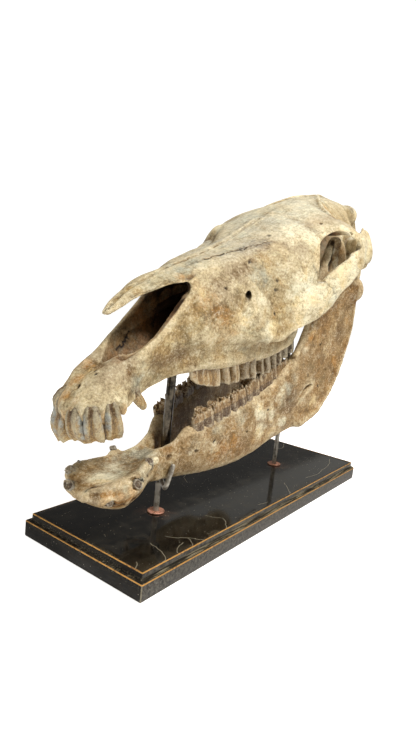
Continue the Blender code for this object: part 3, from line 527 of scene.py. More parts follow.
def add_incisor_roots(clay):
    """Swellings of the incisor bones over the roots, and the points of bone between the teeth."""
    for x, s, width, angle in UPPER_INCISORS:
        outward, places = incisor_steps(x, s, angle)
        sizes = ((width * 0.3, 3), (width * 0.46, 6.4), (width * 0.5, 6.4))
        path = [(place - outward * back, *size) for place, back, size in zip(places, (5, 1.6, 1), sizes)]
        add_bar(clay, path, 4, sides=16, upright=outward)
    for x, s, low in ((0.8, -3.5, -12), (16.8, 1, -15), (28.2, 12.5, -14), (33.2, 31, -9)):
        add_bar(clay, (((x * 0.9, s + 4, 9), 4, 5), ((x, s + 1, 0), 3.6, 4.5),
                       ((x, s + 0.6, low * 0.5), 3, 3.6), ((x, s + 0.8, low), 1, 1.6)), 3,
                sides=12, upright=(0, 1, 0))
    add_bar(clay, (((0, 8, -6), 5, 7), ((12, 12, -6), 5, 7), ((20, 20, -5), 5, 7),
                   ((23, 33, -3), 4, 5)), 3, sides=14)


def orbit_cutter(clay):
    """Space of the orbit, a cone that narrows inwards and back from the rim."""
    rim_x = line(ORBIT_RIM_X)
    inwards = Vector(ORBIT_INWARDS).normalized()
    rim = closed_curve([(rim_x(s), s, h) for s, h in ORBIT_RIM], 6)
    centre = sum(rim, Vector()) / len(rim)
    add_loft(clay, [[centre + (p - centre) * scale + inwards * depth for p in rim]
                    for depth, scale in ORBIT_DEPTHS])


def cavity_cutter(clay):
    """Nasal cavity, open between the nasal beak and the rims of the incisor bones."""
    roof, side, floor = line(CAVITY_ROOF), line(CAVITY_SIDE), line(CAVITY_FLOOR)
    rings = []
    for s in stations(42, 235, 3):
        top, (x, h), low = roof(s)[1], side(s), floor(s)[1]
        half = [(0, s, top), (x * 0.75, s, h + (top - h) * 0.72), (x, s, h),
                (x * 0.7, s, low + (h - low) * 0.25), (0, s, low)]
        rings.append(half_ring(half, 6))
    add_loft(clay, rings)


def choana_cutter(clay):
    """Passage behind the palate, between the pterygoid plates."""
    places = ((236, 12, 20), (246, 17, 34), (280, 19, 40), (320, 17, 34), (360, 17, 29))
    add_loft(clay, [half_ring([(0, s, roof), (width, s, roof - 8), (width, s, -30), (0, s, -34)], 6)
                    for s, width, roof in places])


def foramen_cutter(clay):
    """Hole under the orbit, where the nerve left the cheek."""
    x, s, h = INFRAORBITAL_HOLE
    add_strut(clay, (((x + 13, s - 24, h - 9), 2.8, 4.6), ((x + 3, s - 3, h - 1), 2.6, 4),
                     ((x - 12, s + 20, h + 3), 2.6, 3.6)))


def foramen_magnum_cutter(clay):
    """Hole for the spinal cord."""
    add_strut(clay, (((0, 484, 58), 11, 11), ((0, 512, 60), 15, 14), ((0, 545, 64), 17, 16)))


def small_holes_cutter(clay):
    """Hole between the incisor roots, holes of the brow and palate, worn gap over a root."""
    add_strut(clay, (((2.6, 2, 23), 2.4, 3.2), ((3.2, 14, 16), 2.4, 3.2), ((3, 26, 10), 2, 2.4)))
    add_bar(clay, NOSE_RIM, 3, sides=16)
    add_strut(clay, [(place, 5.6, 5.6) for place in NOSE_NOTCH])
    for side in (1, -1):
        add_strut(clay, (((66 * side, 330, 128), 2.2, 2.2), ((62 * side, 334, 100), 2, 2)), upright=(0, 1, 0))
    add_bar(clay, (((8.4, -5.5, 10), 2.2, 3), ((8.8, -8, 4), 4.6, 4.6), ((9.4, -9, -6), 5.4, 4.6)),
            3, sides=14, upright=(0, 1, 0))
    for x in (-7, 7):
        add_strut(clay, (((x, 62, 21), 1.7, 6), ((x, 84, 17), 2.4, 7), ((x, 104, 20), 1.5, 6)))


def add_nasal_septum(clay):
    """Low wall along the floor of the nasal cavity, and the shelf of bone on either side."""
    add_strut(clay, (((0, 66, 16), 2.2, 3), ((0, 110, 17), 2.4, 6), ((0, 160, 23), 2.4, 10),
                     ((0, 215, 36), 2.4, 16)), sides=12)
    for sign in (-1, 1):
        add_strut(clay, (((21 * sign, 92, 40), 1.8, 2), ((24 * sign, 120, 46), 3.4, 3.2),
                         ((25 * sign, 160, 54), 5, 5), ((23 * sign, 215, 58), 5, 6)), sides=12)


# ---- mandible
def add_chin(clay):
    """Fused front of the jaw, a shallow spoon that carries the incisors."""
    width, ridge, top, bottom = (line(keys) for keys in (CHIN_WIDTH, CHIN_RIDGE, CHIN_TOP, CHIN_BOTTOM))
    rings = []
    for s in stations(-2, 94, 2.5):
        w, r, t, b = width(s), ridge(s), top(s), bottom(s)
        dish = min(4.5, 0.2 * r)
        half = [(0, s, t - dish), (r * 0.55, s, t - dish * 0.7), (r, s, t), (w, s, t - 9 - (w - r) * 0.5),
                (w * 0.84, s, b + (t - b) * 0.3), (w * 0.45, s, b + 3), (0, s, b)]
        rings.append(half_ring(half, 5))
    add_loft(clay, rings)


def add_jaw_body(clay):
    """One horizontal branch of the jaw, from the chin to the ramus."""
    outer, inner, top, bottom = (line(k) for k in (BODY_OUTER, BODY_INNER, BODY_TOP, BODY_BOTTOM))
    rings = []
    for s in stations(76, 300, 3):
        o, i, t, b = outer(s), inner(s), top(s), bottom(s)
        mid = (t + b) / 2
        ring = [(o - 4, s, t - 3), (o, s, mid + 8), (o - 1, s, mid - 12), (o - 5, s, b + 3),
                ((o + i) / 2 - 1, s, b), (i + 2, s, b + 6), (i, s, mid), (i + 1, s, t - 6),
                ((o + i) / 2, s, t)]
        rings.append(closed_curve(ring, 5))
    add_loft(clay, rings)


def add_ramus(clay):
    """Upright plate of the jaw with its coronoid process, its thick rims and the condyle."""
    plate_x = line(RAMUS_X)
    rim = closed_curve([(0, s, h) for s, h in RAMUS_OUTLINE], 5)
    centre = sum(rim, Vector()) / len(rim)
    rings = []
    for offset, shrink in ((-1, 4), (-0.72, 0.8), (0, 0), (0.72, 0.8), (1, 4)):
        ring = []
        for p in rim:
            inward = (centre - p).normalized() * shrink
            ring.append((plate_x(p.y) + offset * RAMUS_HALF_THICKNESS, p.y + inward.y, p.z + inward.z))
        rings.append(ring)
    add_loft(clay, rings)
    add_ball(clay, *JAW_CONDYLE, turn=(0, 6, 0))
    add_bar(clay, RAMUS_RIM, 5, upright=(1, 0, 0))
    add_bar(clay, RAMUS_FRONT, 5, upright=(1, 0, 0))
    add_bar(clay, RAMUS_BACK, 5, sides=14, upright=(1, 0, 0))
    add_ball(clay, (73, 436, 58), (9.5, 8, 15))


def add_chin_wear(clay):
    """Broken rims of the lower incisor sockets, and the knobs beside the worn canines."""
    add_ball(clay, (8, -0.5, -9), (9, 4.5, 5), (20, 0, -8))
    add_ball(clay, (21, 6, -12), (10, 5, 5), (15, 0, 32))
    add_ball(clay, (31, 24, -14), (5, 11, 6), (0, 10, -12))
    add_ball(clay, (-10, 1.5, -6.5), (7.5, 6, 6), (10, 0, 10))
    add_ball(clay, (-22, 13, -3.5), (7.5, 9, 6), (0, 0, 34))
    add_ball(clay, (-29, 27, -8), (5, 11, 5))
    add_ball(clay, (23.5, 62, -11), (5, 10, 5), (0, 0, 8))
    add_ball(clay, (25, 73, -10), (3.5, 5, 4))
    add_ball(clay, (-22, 64, -12), (5, 8, 4.5))


def jaw_holes_cutter(clay):
    """Mental foramen, slot in the ramus and open sockets at the front of the jaw."""
    for sign in (-1, 1):
        add_ball(clay, (21.5 * sign, 97, -22), (5, 4.4, 2.2), (0, 0, -20 * sign))
        add_ball(clay, (31.5 * sign, 42, -9), (5, 10, 1.9), (-30, 0, 8 * sign))
    add_ball(clay, (32.5, 40, -13.5), (6, 7.5, 4.6), (-20, 0, 10))
    add_ball(clay, (27.5, 11, -16.5), (6, 5.5, 3.8), (0, 0, 30))
    add_ball(clay, (-17, 6, 1), (1.5, 8, 3.6), (0, 0, -24))
    add_bar(clay, (((62, 327, -36), 10, 1.4), ((62, 318, -36), 10, 3), ((62, 305, -40), 10, 3.3),
                   ((62, 292, -46), 10, 1.6)), 4, upright=(0, -0.5, 1))
    add_ball(clay, (0, 3, 1), (2, 7, 3))


# ---- teeth
def add_cheek_tooth(clay, front, back, outer, bite, width, root, outline, jag, dice):
    """One cheek tooth: a column with upright ridges and a rough biting face with folds of enamel."""
    length = back - front
    ring = [(p.x, p.y) for p in closed_curve([(u, w, 0) for u, w in outline], 4)]
    count = len(ring)
    flutes = np.convolve(dice.normal(0, 0.5, count + 4), np.ones(3) / 3, "same")[:count]
    rough = np.convolve(dice.normal(0, jag, count + 4), (0.25, 0.5, 0.25), "same")[:count]
    middle = (sum(u for u, w in ring) / count, sum(w for u, w in ring) / count)
    upwards = 1 if root < 0 else -1
    sway = dice.uniform(0, 6)

    def level(grow, height, use_rough):
        points = []
        for k, (u, w) in enumerate(ring):
            u2 = middle[0] + (u - middle[0]) * grow
            w2 = middle[1] + (w - middle[1]) * grow
            s = front + 0.35 + (length - 0.7) * u2
            h = height(s) + upwards * (rough[k] - 1.8 * abs(2 * u - 1) ** 4) * use_rough
            s += 0.7 * math.sin(h * 0.28 + sway) * math.sin(math.pi * u)
            x = outer(s) - w2 * width + (flutes[k] if w < 0.5 else 0)
            points.append((x, s, h))
        return points

    rings = []
    for t in stations(0, 1, 0.11):
        rings.append(level(0.96 + 0.04 * math.sin(math.pi * t), lambda s: root + (bite(s) - root) * t,
                           t ** 6))
    for grow, sink, use in ((0.9, 0.2, 1), (0.8, 2.2, 0.4), (0.62, 0.4, 0.8), (0.46, 2, 0.3),
                            (0.3, 0.8, 0.5), (0.14, 2.4, 0.2)):
        rings.append(level(grow, lambda s: bite(s) - upwards * sink, use))
    add_loft(clay, rings)


FRONT_STUMPS = (
    # middle of the broken face, radius, direction it faces
    ((-9.5, -1, -2.5), 6.4, (0.15, -0.75, 0.75)), ((-23, 11.5, 0.5), 6, (-0.35, -0.5, 0.9)),
    ((27, 10.5, -15.5), 4.4, (0.6, -0.6, 0.2)), ((32.5, 40, -13.5), 5.6, (0.9, -0.1, 0.45)),
    ((-30, 26, -5), 4.6, (-0.5, -0.2, 0.9)), ((24.5, 67, -8), 4.6, (0.4, -0.2, 0.9)),
    ((-24, 66, -8), 4, (-0.2, -0.1, 1)))


def upper_cheek_row(clay):
    """Six upper cheek teeth of the left side."""
    dice = np.random.default_rng(21)
    outer, bite = line(UPPER_TOOTH_X), line(UPPER_BITE)
    for front, back in zip(UPPER_TEETH, UPPER_TEETH[1:]):
        outline = UPPER_FRONT_OUTLINE if front == UPPER_TEETH[0] else UPPER_OUTLINE
        drop = dice.uniform(-1.4, 1.4)
        add_cheek_tooth(clay, front + 0.5, back - 0.3, outer, lambda s: bite(s) + drop, UPPER_TOOTH_WIDTH, 8,
                        outline, 1.5, dice)


def lower_cheek_row(clay, worn=0):
    """Six lower cheek teeth of one side, their crowns splintered, and worn lower on the other."""
    dice = np.random.default_rng(22)
    outer, height = line(LOWER_TOOTH_X), line(LOWER_BITE)

    def bite(s):
        return height(s) - worn * min(max((s - 110) / 95, 0), 1)

    for front, back in zip(LOWER_TEETH, LOWER_TEETH[1:]):
        outline = LOWER_FRONT_OUTLINE if front == LOWER_TEETH[0] else LOWER_OUTLINE
        drop = dice.uniform(-1.2, 1)
        add_cheek_tooth(clay, front, back, outer, lambda s: bite(s) + drop, LOWER_TOOTH_WIDTH, -12, outline,
                        2.8, dice)
        for _ in range(16):
            s = dice.uniform(front + 2, back - 1)
            inset = dice.uniform(0.2, 3) if s < front + 9 else dice.uniform(0.2, 11)
            x = outer(s) - inset
            top = bite(s) + dice.uniform(0.4, 3.4)
            lean, swing = dice.uniform(-2.5, 1.5), dice.uniform(-1.5, 1.5)
            thick = dice.uniform(0.7, 1.5)
            add_strut(clay, (((x, s, top - 9), thick * 1.5, thick * 1.4),
                             ((x, s + lean * 0.5, top - 3), thick, thick),
                             ((x + swing, s + lean, top), 0.45, 0.45)), sides=8, upright=(0, 1, 0))


def upper_incisor_row(clay):
    """Three long worn upper incisors of the left side."""
    dice = np.random.default_rng(23)
    for x, s, width, angle in UPPER_INCISORS:
        outward, places = incisor_steps(x, s, angle)
        across = Vector((0, 0, 1)).cross(outward)
        widths = [width * k for k in (0.42, 0.6, 0.77, 0.9, 1.01, 1.06, 0.96)]
        depths = (7, 9, 11, 12, 11, 8.5, 5)
        path = smooth_path([(p, w / 2, d / 2) for p, w, d in zip(places, widths, depths)], 4)
        rough = np.convolve(dice.normal(0, 1.1, 36), (0.25, 0.5, 0.25), "same")[:32]
        rings = []
        for i, (centre, half_width, half_depth) in enumerate(path):
            ring = []
            for k, (side, front) in enumerate(circle(32)):
                groove = 0.26 * math.exp(-((side + 0.08) / 0.2) ** 2)
                groove -= 0.12 * math.exp(-((abs(side) - 0.5) / 0.22) ** 2)
                reach = half_depth * (front * abs(front) ** -0.25 if front else 0)
                reach -= half_depth * groove if front > 0 else 0
                point = Vector(centre) + across * half_width * side * abs(side) ** -0.12 + outward * reach
                if i > len(path) - 3:
                    point.z += rough[k] * (i - len(path) + 3) / 2
                ring.append(point)
            rings.append(ring)
        last = rings[-1]
        centre = sum(last, Vector()) / len(last)
        rings.append([centre + (p - centre) * 0.6 + Vector((0, 0, 1.6)) for p in last])
        rings.append([centre + (p - centre) * 0.25 + Vector((0, 0, 2.6)) for p in last])
        add_loft(clay, rings)


def upper_canine(clay):
    """Small blunt canine of the left side."""
    add_bar(clay, (((21, 57, 6), 4.8, 5), ((21.5, 59, -3), 4.6, 5.2), ((22.3, 62.5, -10), 4.2, 5),
                   ((23.3, 65.4, -16), 3.2, 4), ((23.7, 66, -18.8), 1.8, 2.4)), 4,
            sides=18, upright=(0, 1, 0))


def lower_front_stumps(clay):
    """Broken roots of the lower incisors and the worn canines, different on the left and the right."""
    dice = np.random.default_rng(24)
    for place, radius, way in FRONT_STUMPS:
        way = Vector(way).normalized()
        wide = way.cross(Vector((0.2, 1, 0.1))).normalized()
        deep = way.cross(wide)
        rings = []
        wobble = np.convolve(dice.normal(0, 0.6, 24), (0.25, 0.5, 0.25), "same")[:20]
        for rise, grow in ((-13, 0.8), (-6, 0.95), (0, 1), (2, 0.98), (3, 0.84), (2.2, 0.66),
                           (1.4, 0.52), (2.4, 0.4), (2.6, 0.26), (1.6, 0.14)):
            rings.append([Vector(place) + way * (rise + wobble[(k * 3) % 20] * (1.2 if rise > 1 else 0))
                          + (wide * cos + deep * sin * 0.8) * (radius * grow + wobble[k])
                          for k, (cos, sin) in enumerate(circle(20))])
        add_loft(clay, rings)


# ---- skins
def to_mesh(clay, mesh=None):
    """Put the clay into a mesh, or a new one, and free it."""
    mesh = mesh or bpy.data.meshes.new("clay")
    clay.to_mesh(mesh)
    clay.free()
    return mesh


def clay_from(mesh):
    """Clay with the mesh's shape."""
    clay = bmesh.new()
    clay.from_mesh(mesh)
    return clay


def cleaned(clay):
    """Clay of triangles only, without edges too short to keep."""
    bmesh.ops.dissolve_degenerate(clay, dist=SLIVER * MM, edges=clay.edges[:])
    cut_up(clay)
    return clay


def cut_up(clay):
    """Cut the clay's larger faces into triangles."""
    bmesh.ops.triangulate(clay, faces=[f for f in clay.faces if len(f.verts) > 3])


def helper(mesh):
    """Passing object that carries a mesh for modifiers."""
    return placed(bpy.data.objects.new("passing", mesh))


def applied(holder):
    """The holder's mesh with its modifiers applied; the holder is removed."""
    bpy.context.view_layer.update()
    mesh = bpy.data.meshes.new_from_object(holder.evaluated_get(bpy.context.evaluated_depsgraph_get()))
    old = holder.data
    bpy.data.objects.remove(holder)
    bpy.data.meshes.remove(old)
    return mesh


def remeshed(mesh, voxel, smooth=0):
    """One even skin round overlapping closed forms."""
    holder = helper(mesh)
    remesh = holder.modifiers.new("Fuse", "REMESH")
    remesh.mode = "VOXEL"
    remesh.voxel_size = voxel * MM
    if smooth:
        soften = holder.modifiers.new("Soften", "SMOOTH")
        soften.factor = 0.5
        soften.iterations = smooth
    return applied(holder)


def carved(mesh, cutters):
    """The mesh with the cutters' spaces taken out of it."""
    holder = helper(mesh)
    box = bpy.data.collections.new("blades")
    blades = [helper(to_mesh(cutter)) for cutter in cutters]
    for blade in blades:
        box.objects.link(blade)
    carve = holder.modifiers.new("Carve", "BOOLEAN")
    carve.operation = "DIFFERENCE"
    carve.operand_type = "COLLECTION"
    carve.solver = "MANIFOLD"
    carve.collection = box
    result = applied(holder)
    for blade in blades:
        old = blade.data
        bpy.data.objects.remove(blade)
        bpy.data.meshes.remove(old)
    bpy.data.collections.remove(box)
    return result


def thinned(mesh, triangles):
    """The mesh reduced to about the given number of triangles, with its loose crumbs swept away."""
    mesh.calc_loop_triangles()
    holder = helper(mesh)
    decimate = holder.modifiers.new("Facets", "DECIMATE")
    decimate.ratio = min(1, triangles / len(mesh.loop_triangles))
    decimate.use_collapse_triangulate = True
    mesh = applied(holder)
    clay = clay_from(mesh)
    clay.verts.index_update()
    seen, crumbs = [False] * len(clay.verts), []
    for first in clay.verts:
        shell = [] if seen[first.index] else [first]
        seen[first.index] = True
        for vert in shell:
            for edge in vert.link_edges:
                other = edge.other_vert(vert)
                if not seen[other.index]:
                    seen[other.index] = True
                    shell.append(other)
        if len(shell) < CRUMB:
            crumbs += shell
    bmesh.ops.delete(clay, geom=crumbs, context="VERTS")
    return to_mesh(cleaned(clay), mesh)


def points_of(mesh):
    """Vertex positions in millimetres."""
    flat = np.empty(len(mesh.vertices) * 3)
    mesh.vertices.foreach_get("co", flat)
    return flat.reshape(-1, 3) / MM


def normals_of(mesh):
    """Vertex normals."""
    flat = np.empty(len(mesh.vertices) * 3)
    mesh.vertices.foreach_get("normal", flat)
    return flat.reshape(-1, 3)


def move_points(mesh, points):
    """Set the vertex positions, in millimetres."""
    mesh.vertices.foreach_set("co", (points * MM).ravel())
    mesh.update()


def cloud(points, size, seed):
    """Smooth noise from -1 to 1, with features about size millimetres across."""
    places = points / size
    cells = np.floor(places).astype(np.int64)
    part = places - cells
    part = part * part * (3 - 2 * part)
    total = np.zeros(len(points))
    for corner in itertools.product((0, 1), repeat=3):
        key = (cells + corner) * (73856093, 19349663, 83492791)
        mixed = (key[:, 0] ^ key[:, 1] ^ key[:, 2] ^ (seed * 2654435761)) & 0x7FFFFFFF
        mixed = (mixed * 1103515245 + 12345) & 0x7FFFFFFF
        mixed = ((mixed >> 13) ^ mixed) * 1274126177 & 0x7FFFFFFF
        weight = np.prod(np.where(corner, part, 1 - part), axis=1)
        total += weight * (mixed / 0x7FFFFFFF)
    return total * 2 - 1


def distance_to(points, path):
    """Distance in millimetres from each point to a path of straight pieces."""
    best = np.full(len(points), 1e9)
    for a, b in zip(path, path[1:]):
        a, b = np.array(a, float), np.array(b, float)
        along = b - a
        t = np.clip((points - a) @ along / max(along @ along, 1e-9), 0, 1)
        best = np.minimum(best, np.linalg.norm(points - a - t[:, None] * along, axis=1))
    return best


def near(points, path, reach):
    """Nearness of each point to a path, 1 on it and fading over the reach, in millimetres."""
    return np.exp(-(distance_to(points, path) / reach) ** 2)


def folded(points):
    """The points with those of the right side mirrored to the left."""
    return np.abs(points * (1, 0, 0)) + points * (0, 1, 1)


def ragged_path(path, wander, seed, pieces=6):
    """The path with more points, wandering a little from the straight."""
    dice = np.random.default_rng(seed)
    result = []
    for a, b in zip(path, path[1:]):
        a, b = np.array(a, float), np.array(b, float)
        for k in range(pieces):
            t = k / pieces
            result.append(a + (b - a) * t + (dice.normal(0, wander, 3) if k else 0))
    result.append(np.array(path[-1], float))
    return result


def lumps(points, seed, coarse, middle, fine):
    """Uneven growth of a surface, in millimetres, at three scales."""
    return (coarse * cloud(points, 34, seed) + coarse * 0.6 * cloud(points, 17, seed + 1)
            + middle * cloud(points, 8.5, seed + 2) + middle * 0.6 * cloud(points, 4.6, seed + 3)
            + fine * cloud(points, 2.4, seed + 4))


def relief_of(mesh, points, times):
    """How far each vertex stands out of the surface around it, in millimetres."""
    ends = np.empty(len(mesh.edges) * 2, np.int32)
    mesh.edges.foreach_get("vertices", ends)
    a, b = ends[0::2], ends[1::2]
    count = len(points)
    degree = np.maximum(np.bincount(ends, minlength=count), 1)
    even = points.copy()
    for _ in range(times):
        for axis in range(3):
            column = even[:, axis]
            total = np.bincount(a, column[b], count) + np.bincount(b, column[a], count)
            even[:, axis] = 0.4 * column + 0.6 * total / degree
    return ((points - even) * normals_of(mesh)).sum(axis=1)


def split_near(mesh, paths, reach, size):
    """Split the edges near the paths until they are no longer than size, all in millimetres."""
    clay = clay_from(mesh)
    for _ in range(3):
        points = np.array([v.co[:] for v in clay.verts]) / MM
        close = np.zeros(len(points), bool)
        for path in paths:
            close |= distance_to(points, path) < reach
        clay.verts.index_update()
        edges = [e for e in clay.edges if close[e.verts[0].index] and close[e.verts[1].index]
                 and e.calc_length() > size * MM]
        if not edges:
            break
        bmesh.ops.subdivide_edges(clay, edges=edges, cuts=1)
        cut_up(clay)
    to_mesh(cleaned(clay), mesh).update()


def paint(mesh, name, values):
    """Store one value for each vertex, from 0 to 1, under a name that the materials read."""
    layer = mesh.attributes.new(name, "FLOAT", "POINT")
    layer.data.foreach_set("value", np.clip(values, 0, 1).astype(np.float32))


def patches(points, spots, seed, both_sides=True, loose=1):
    """Amount from 0 to 1 of ragged soft patches (x, s, h, radius, strength)."""
    wander = loose * np.stack([cloud(points, 19, seed + k) * 7 + cloud(points, 7.5, seed + 10 + k) * 3.5
                               for k in range(3)], axis=1)
    total = np.zeros(len(points))
    for x, s, h, radius, strength in spots:
        here = points + wander * min(1, radius / 16)
        if both_sides and x > 12:
            here[:, 0] = np.abs(here[:, 0])
        away = np.linalg.norm(here - (x, s, h), axis=1) / radius
        total = np.maximum(total, strength * np.clip(1.25 - away, 0, 1))
    return np.clip(total, 0, 1)


def to_world(mesh, place, tilt):
    """Bring a mesh from its bone's frame to the world."""
    mesh.transform(Matrix.Translation(Vector(place) * MM) @ Matrix.Rotation(math.radians(tilt), 4, "X"))


def show(name, mesh, material, node):
    """Make a piece that stands for a node of the frame."""
    mesh.shade_smooth()
    mesh.materials.clear()
    mesh.materials.append(material)
    piece = placed(bpy.data.objects.new(name, mesh))
    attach(piece, "root")
    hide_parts(node)
    return piece


# ---- surface of the cranium
CRANIUM_CRACKS = (
    # path, width, depth, darkness
    (((18, 174, 97.5), (23, 196, 102), (29, 214, 107), (35, 227, 113)), 0.55, 0.9, 1),
    (((13, 150, 98), (18, 174, 98)), 0.7, 0.4, 0.35),
    (((35, 227, 113), (41, 243, 112), (47, 252, 112)), 0.6, 0.35, 0.4),
    (((0, 52, 75), (0, 80, 88), (0, 120, 97), (0, 160, 103), (0, 200, 107), (0, 250, 116), (0, 300, 129),
      (0, 340, 138)), 0.7, 0.5, 0.35),
    (((12, 74, 83), (19, 100, 88), (24, 124, 91), (26, 146, 93)), 0.6, 0.35, 0.3),
    (((82, 287, 83), (84, 300, 66), (86, 314, 52), (88, 322, 40)), 0.7, 0.4, 0.45),
    (((94, 372, 88), (92, 380, 74), (92, 390, 62)), 0.7, 0.5, 0.5),
    (((-6, 80, 32), (-6.5, 88, 34), (-6, 98, 36)), 0.9, 1, 1),
    (((1.5, -4, 6), (1, 6, 17), (0.6, 22, 24), (0, 40, 30)), 0.7, 0.3, 0.2),
    (((40, 110, 60), (48, 140, 60), (56, 172, 52)), 0.9, 0.25, 0.15),
)
CRANIUM_PITS = (
    (-12, 135, 42), (-14, 138, 44), (-9, 132, 40), (-16, 131, 43), (-11, 139, 46), (66, 385, 114),
    (48, 214, 97), (37, 262, 115), (62, 232, 62), (58, 236, 70), (64, 222, 40), (6, 30, 26), (10, 26, 24),
    (45, 171, 76))
CRANIUM_PALE = (
    (19, 366, 139, 46, 0.5), (24, 322, 131, 44, 0.45), (50, 292, 116, 26, 0.7), (68, 300, 108, 18, 0.7),
    (81, 274, 57, 32, 0.9), (82, 259, 44, 26, 0.8), (59, 192, 50, 13, 0.7), (57, 183, 42, 16, 0.6),
    (63, 208, 58, 15, 0.6), (94, 327, 48, 30, 0.95), (98, 349, 68, 34, 1), (89, 298, 42, 24, 0.9),
    (92, 400, 90, 30, 0.9), (76, 262, 20, 16, 0.85), (70, 212, 22, 14, 0.75), (75, 306, 80, 15, 0.9),
    (82, 322, 110, 17, 0.9), (92, 352, 112, 17, 0.9), (16, 420, 146, 26, 0.6), (30, 60, 22, 18, 0.2),
    # painted light: the first two patches on the next line, on the struts deep in the orbit
    (42, 385, 77, 18, 1), (50, 416, 80, 20, 1), (29, 24, 8, 9, 0.6), (14, 8, 9, 7, 0.5),
    (28, 100, 40, 12, 0.45), (62, 248, 80, 14, 0.4), (5, 60, 76, 14, 0.45), (8, 250, 116, 26, 0.35),
    (40, 138, 78, 9, 0.7))
CRANIUM_BROWN = (
    (41, 243, 108, 24, 0.6), (47, 262, 112, 15, 0.55), (60, 269, 105, 15, 0.75), (67, 277, 99, 14, 0.75),
    (39, 222, 103, 20, 0.7), (41, 196, 92, 24, 0.8), (33, 186, 97, 14, 0.5), (44, 168, 80, 22, 0.75),
    (48, 152, 62, 20, 0.7), (52, 160, 46, 16, 0.45), (50, 180, 66, 16, 0.5), (60, 196, 34, 16, 0.35),
    (66, 226, 50, 14, 0.3), (30, 112, 20, 18, 0.55), (36, 128, 8, 14, 0.5), (20, 30, 20, 12, 0.35),
    (-18, 90, 34, 20, 0.5), (60, 222, -4, 22, 0.3), (57, 262, 2, 26, 0.25), (14, 24, 4, 9, 0.4),
    (26, 50, 20, 22, 0.5), (28, 84, 22, 20, 0.45), (18, 44, 29, 24, 0.95), (33, 110, 30, 20, 0.45),
    (10, 20, 20, 12, 0.5), (95, 378, 92, 12, 0.35), (6, 270, 122, 14, 0.35), (0, 196, 106, 12, 0.3))
CRANIUM_RUST = (
    (16.8, 0, -8, 7, 1), (28.5, 11, -6, 7, 1), (1, -5, -5, 6, 1), (34, 30, -5, 7, 0.8),
    (-14, -4, -4, 8, 0.9), (-26, 8, 2, 9, 0.9), (9, -7, 8, 6, 0.9), (-20, 16, 18, 9, 0.7),
    (12, 3, 10, 8, 0.5), (24, 130, 88, 9, 0.5), (39, 147, 66, 20, 0.42), (46, 156, 49, 20, 0.45),
    (52, 167, 35, 18, 0.42), (35, 405, 132, 13, 0.85), (52, 392, 124, 10, 0.6), (56, 292, 112, 16, 0.45),
    (-9, 1, 11, 9, 0.9), (-5, 14, 21, 10, 0.85), (-10, 34, 27, 10, 0.6), (16, -2, 0, 5, 0.9),
    (29, 12, -2, 5, 0.9), (2, -5, 2, 5, 0.8), (33, 33, -3, 5, 0.7), (92, 366, 84, 9, 0.8),
    (88, 342, 76, 8, 0.6), (-16, 120, 50, 15, 0.8), (-10, 150, 44, 16, 0.8), (-22, 104, 44, 12, 0.5),
    (66, 214, 34, 9, 0.3), (-21, 60, 26, 14, 0.35), (74, 268, 74, 12, 0.3))
CRANIUM_SLATE = (
    (56, 219, 80, 20, 0.6), (68, 203, 22, 16, 0.5), (13, 139, 96, 18, 0.7), (9, 160, 100, 20, 0.6),
    (18, 118, 90, 12, 0.55), (10, 96, 90, 20, 0.4), (8, 70, 82, 18, 0.3), (44, 128, 24, 14, 0.35),
    (28, 60, 14, 15, 0.55), (20, 76, 24, 14, 0.5), (46, 230, 100, 14, 0.35), (24, 352, 136, 46, 0.5),
    (50, 184, 10, 16, 0.45), (76, 262, 60, 12, 0.25), (-14, 50, 27, 12, 0.5), (18, 300, 124, 34, 0.5),
    (10, 250, 114, 24, 0.4), (22, 38, 26, 14, 0.25), (8, 120, 97, 22, 0.45), (12, 214, 108, 14, 0.35),
    (28, 70, 24, 12, 0.4))

MANDIBLE_CRACKS = (
    (((63, 385, 130), (64, 377, 115), (65, 371, 101)), 2, 1.6, 0.8),
    (((63, 392, 129), (63, 400, 117), (63, 404, 108)), 2.4, 1.6, 0.85),
    (((31, 36, -6.5), (30.4, 42, -9.5), (32, 50.5, -16)), 0.9, 1.2, 1),
    (((24, 90, -6), (30, 101, 0), (31, 108, -10), (31, 112, -19)), 0.5, 0.3, 0),
    (((24, 12, -22), (30, 26, -27), (32, 40, -24)), 0.7, 0.7, 0.8),
    (((14, -1, -18), (22, 8, -22), (27, 16, -20)), 0.8, 0.8, 0.8),
    (((62, 330, 20), (63, 350, 40), (63, 362, 70)), 0.8, 0.3, 0.25),
    (((10, 1, -4), (10.5, 10, -5)), 0.7, 0.6, 0.7))
MANDIBLE_PITS = (
    (45, 200, -40), (50, 236, -30), (60, 320, -20), (64, 350, 10), (40, 150, -30), (30, 60, -18),
    (34, 126, -30), (63, 340, -44))
MANDIBLE_PALE = (
    (49, 221, -50, 14, 0.7), (6, 26, -7, 20, 0.8), (-4, 52, -12, 18, 0.5), (11, 40, -11, 14, 0.6),
    # painted light: the full-strength patches on the coronoid process, seen in the orbit, light its struts
    (61, 374, 122, 9, 1), (61, 366, 112, 8, 1), (62, 390, 137, 8, 1), (62, 406, 126, 8, 1),
    (63, 414, 116, 8, 1), (66, 384, 106, 10, 0.9), (49, 226, -27, 17, 0.8), (52, 246, -36, 14, 0.75),
    (54, 261, -57, 9, 0.85), (54, 262, -20, 12, 0.5), (36, 150, -34, 16, 0.4), (28, 128, -28, 14, 0.35),
    (24, 58, -14, 12, 0.5), (26, 72, -9, 8, 0.8), (62, 330, -62, 18, 0.45), (66, 430, -10, 14, 0.4),
    (50, 240, -62, 20, 0.4), (10, 20, -7, 9, 0.4), (32, 140, -2, 7, 0.5), (60, 312, 16, 8, 0.6),
    (63, 344, 60, 12, 0.4), (61, 340, 92, 9, 0.6), (40, 170, -60, 16, 0.3), (54, 262, -30, 10, 0.5))
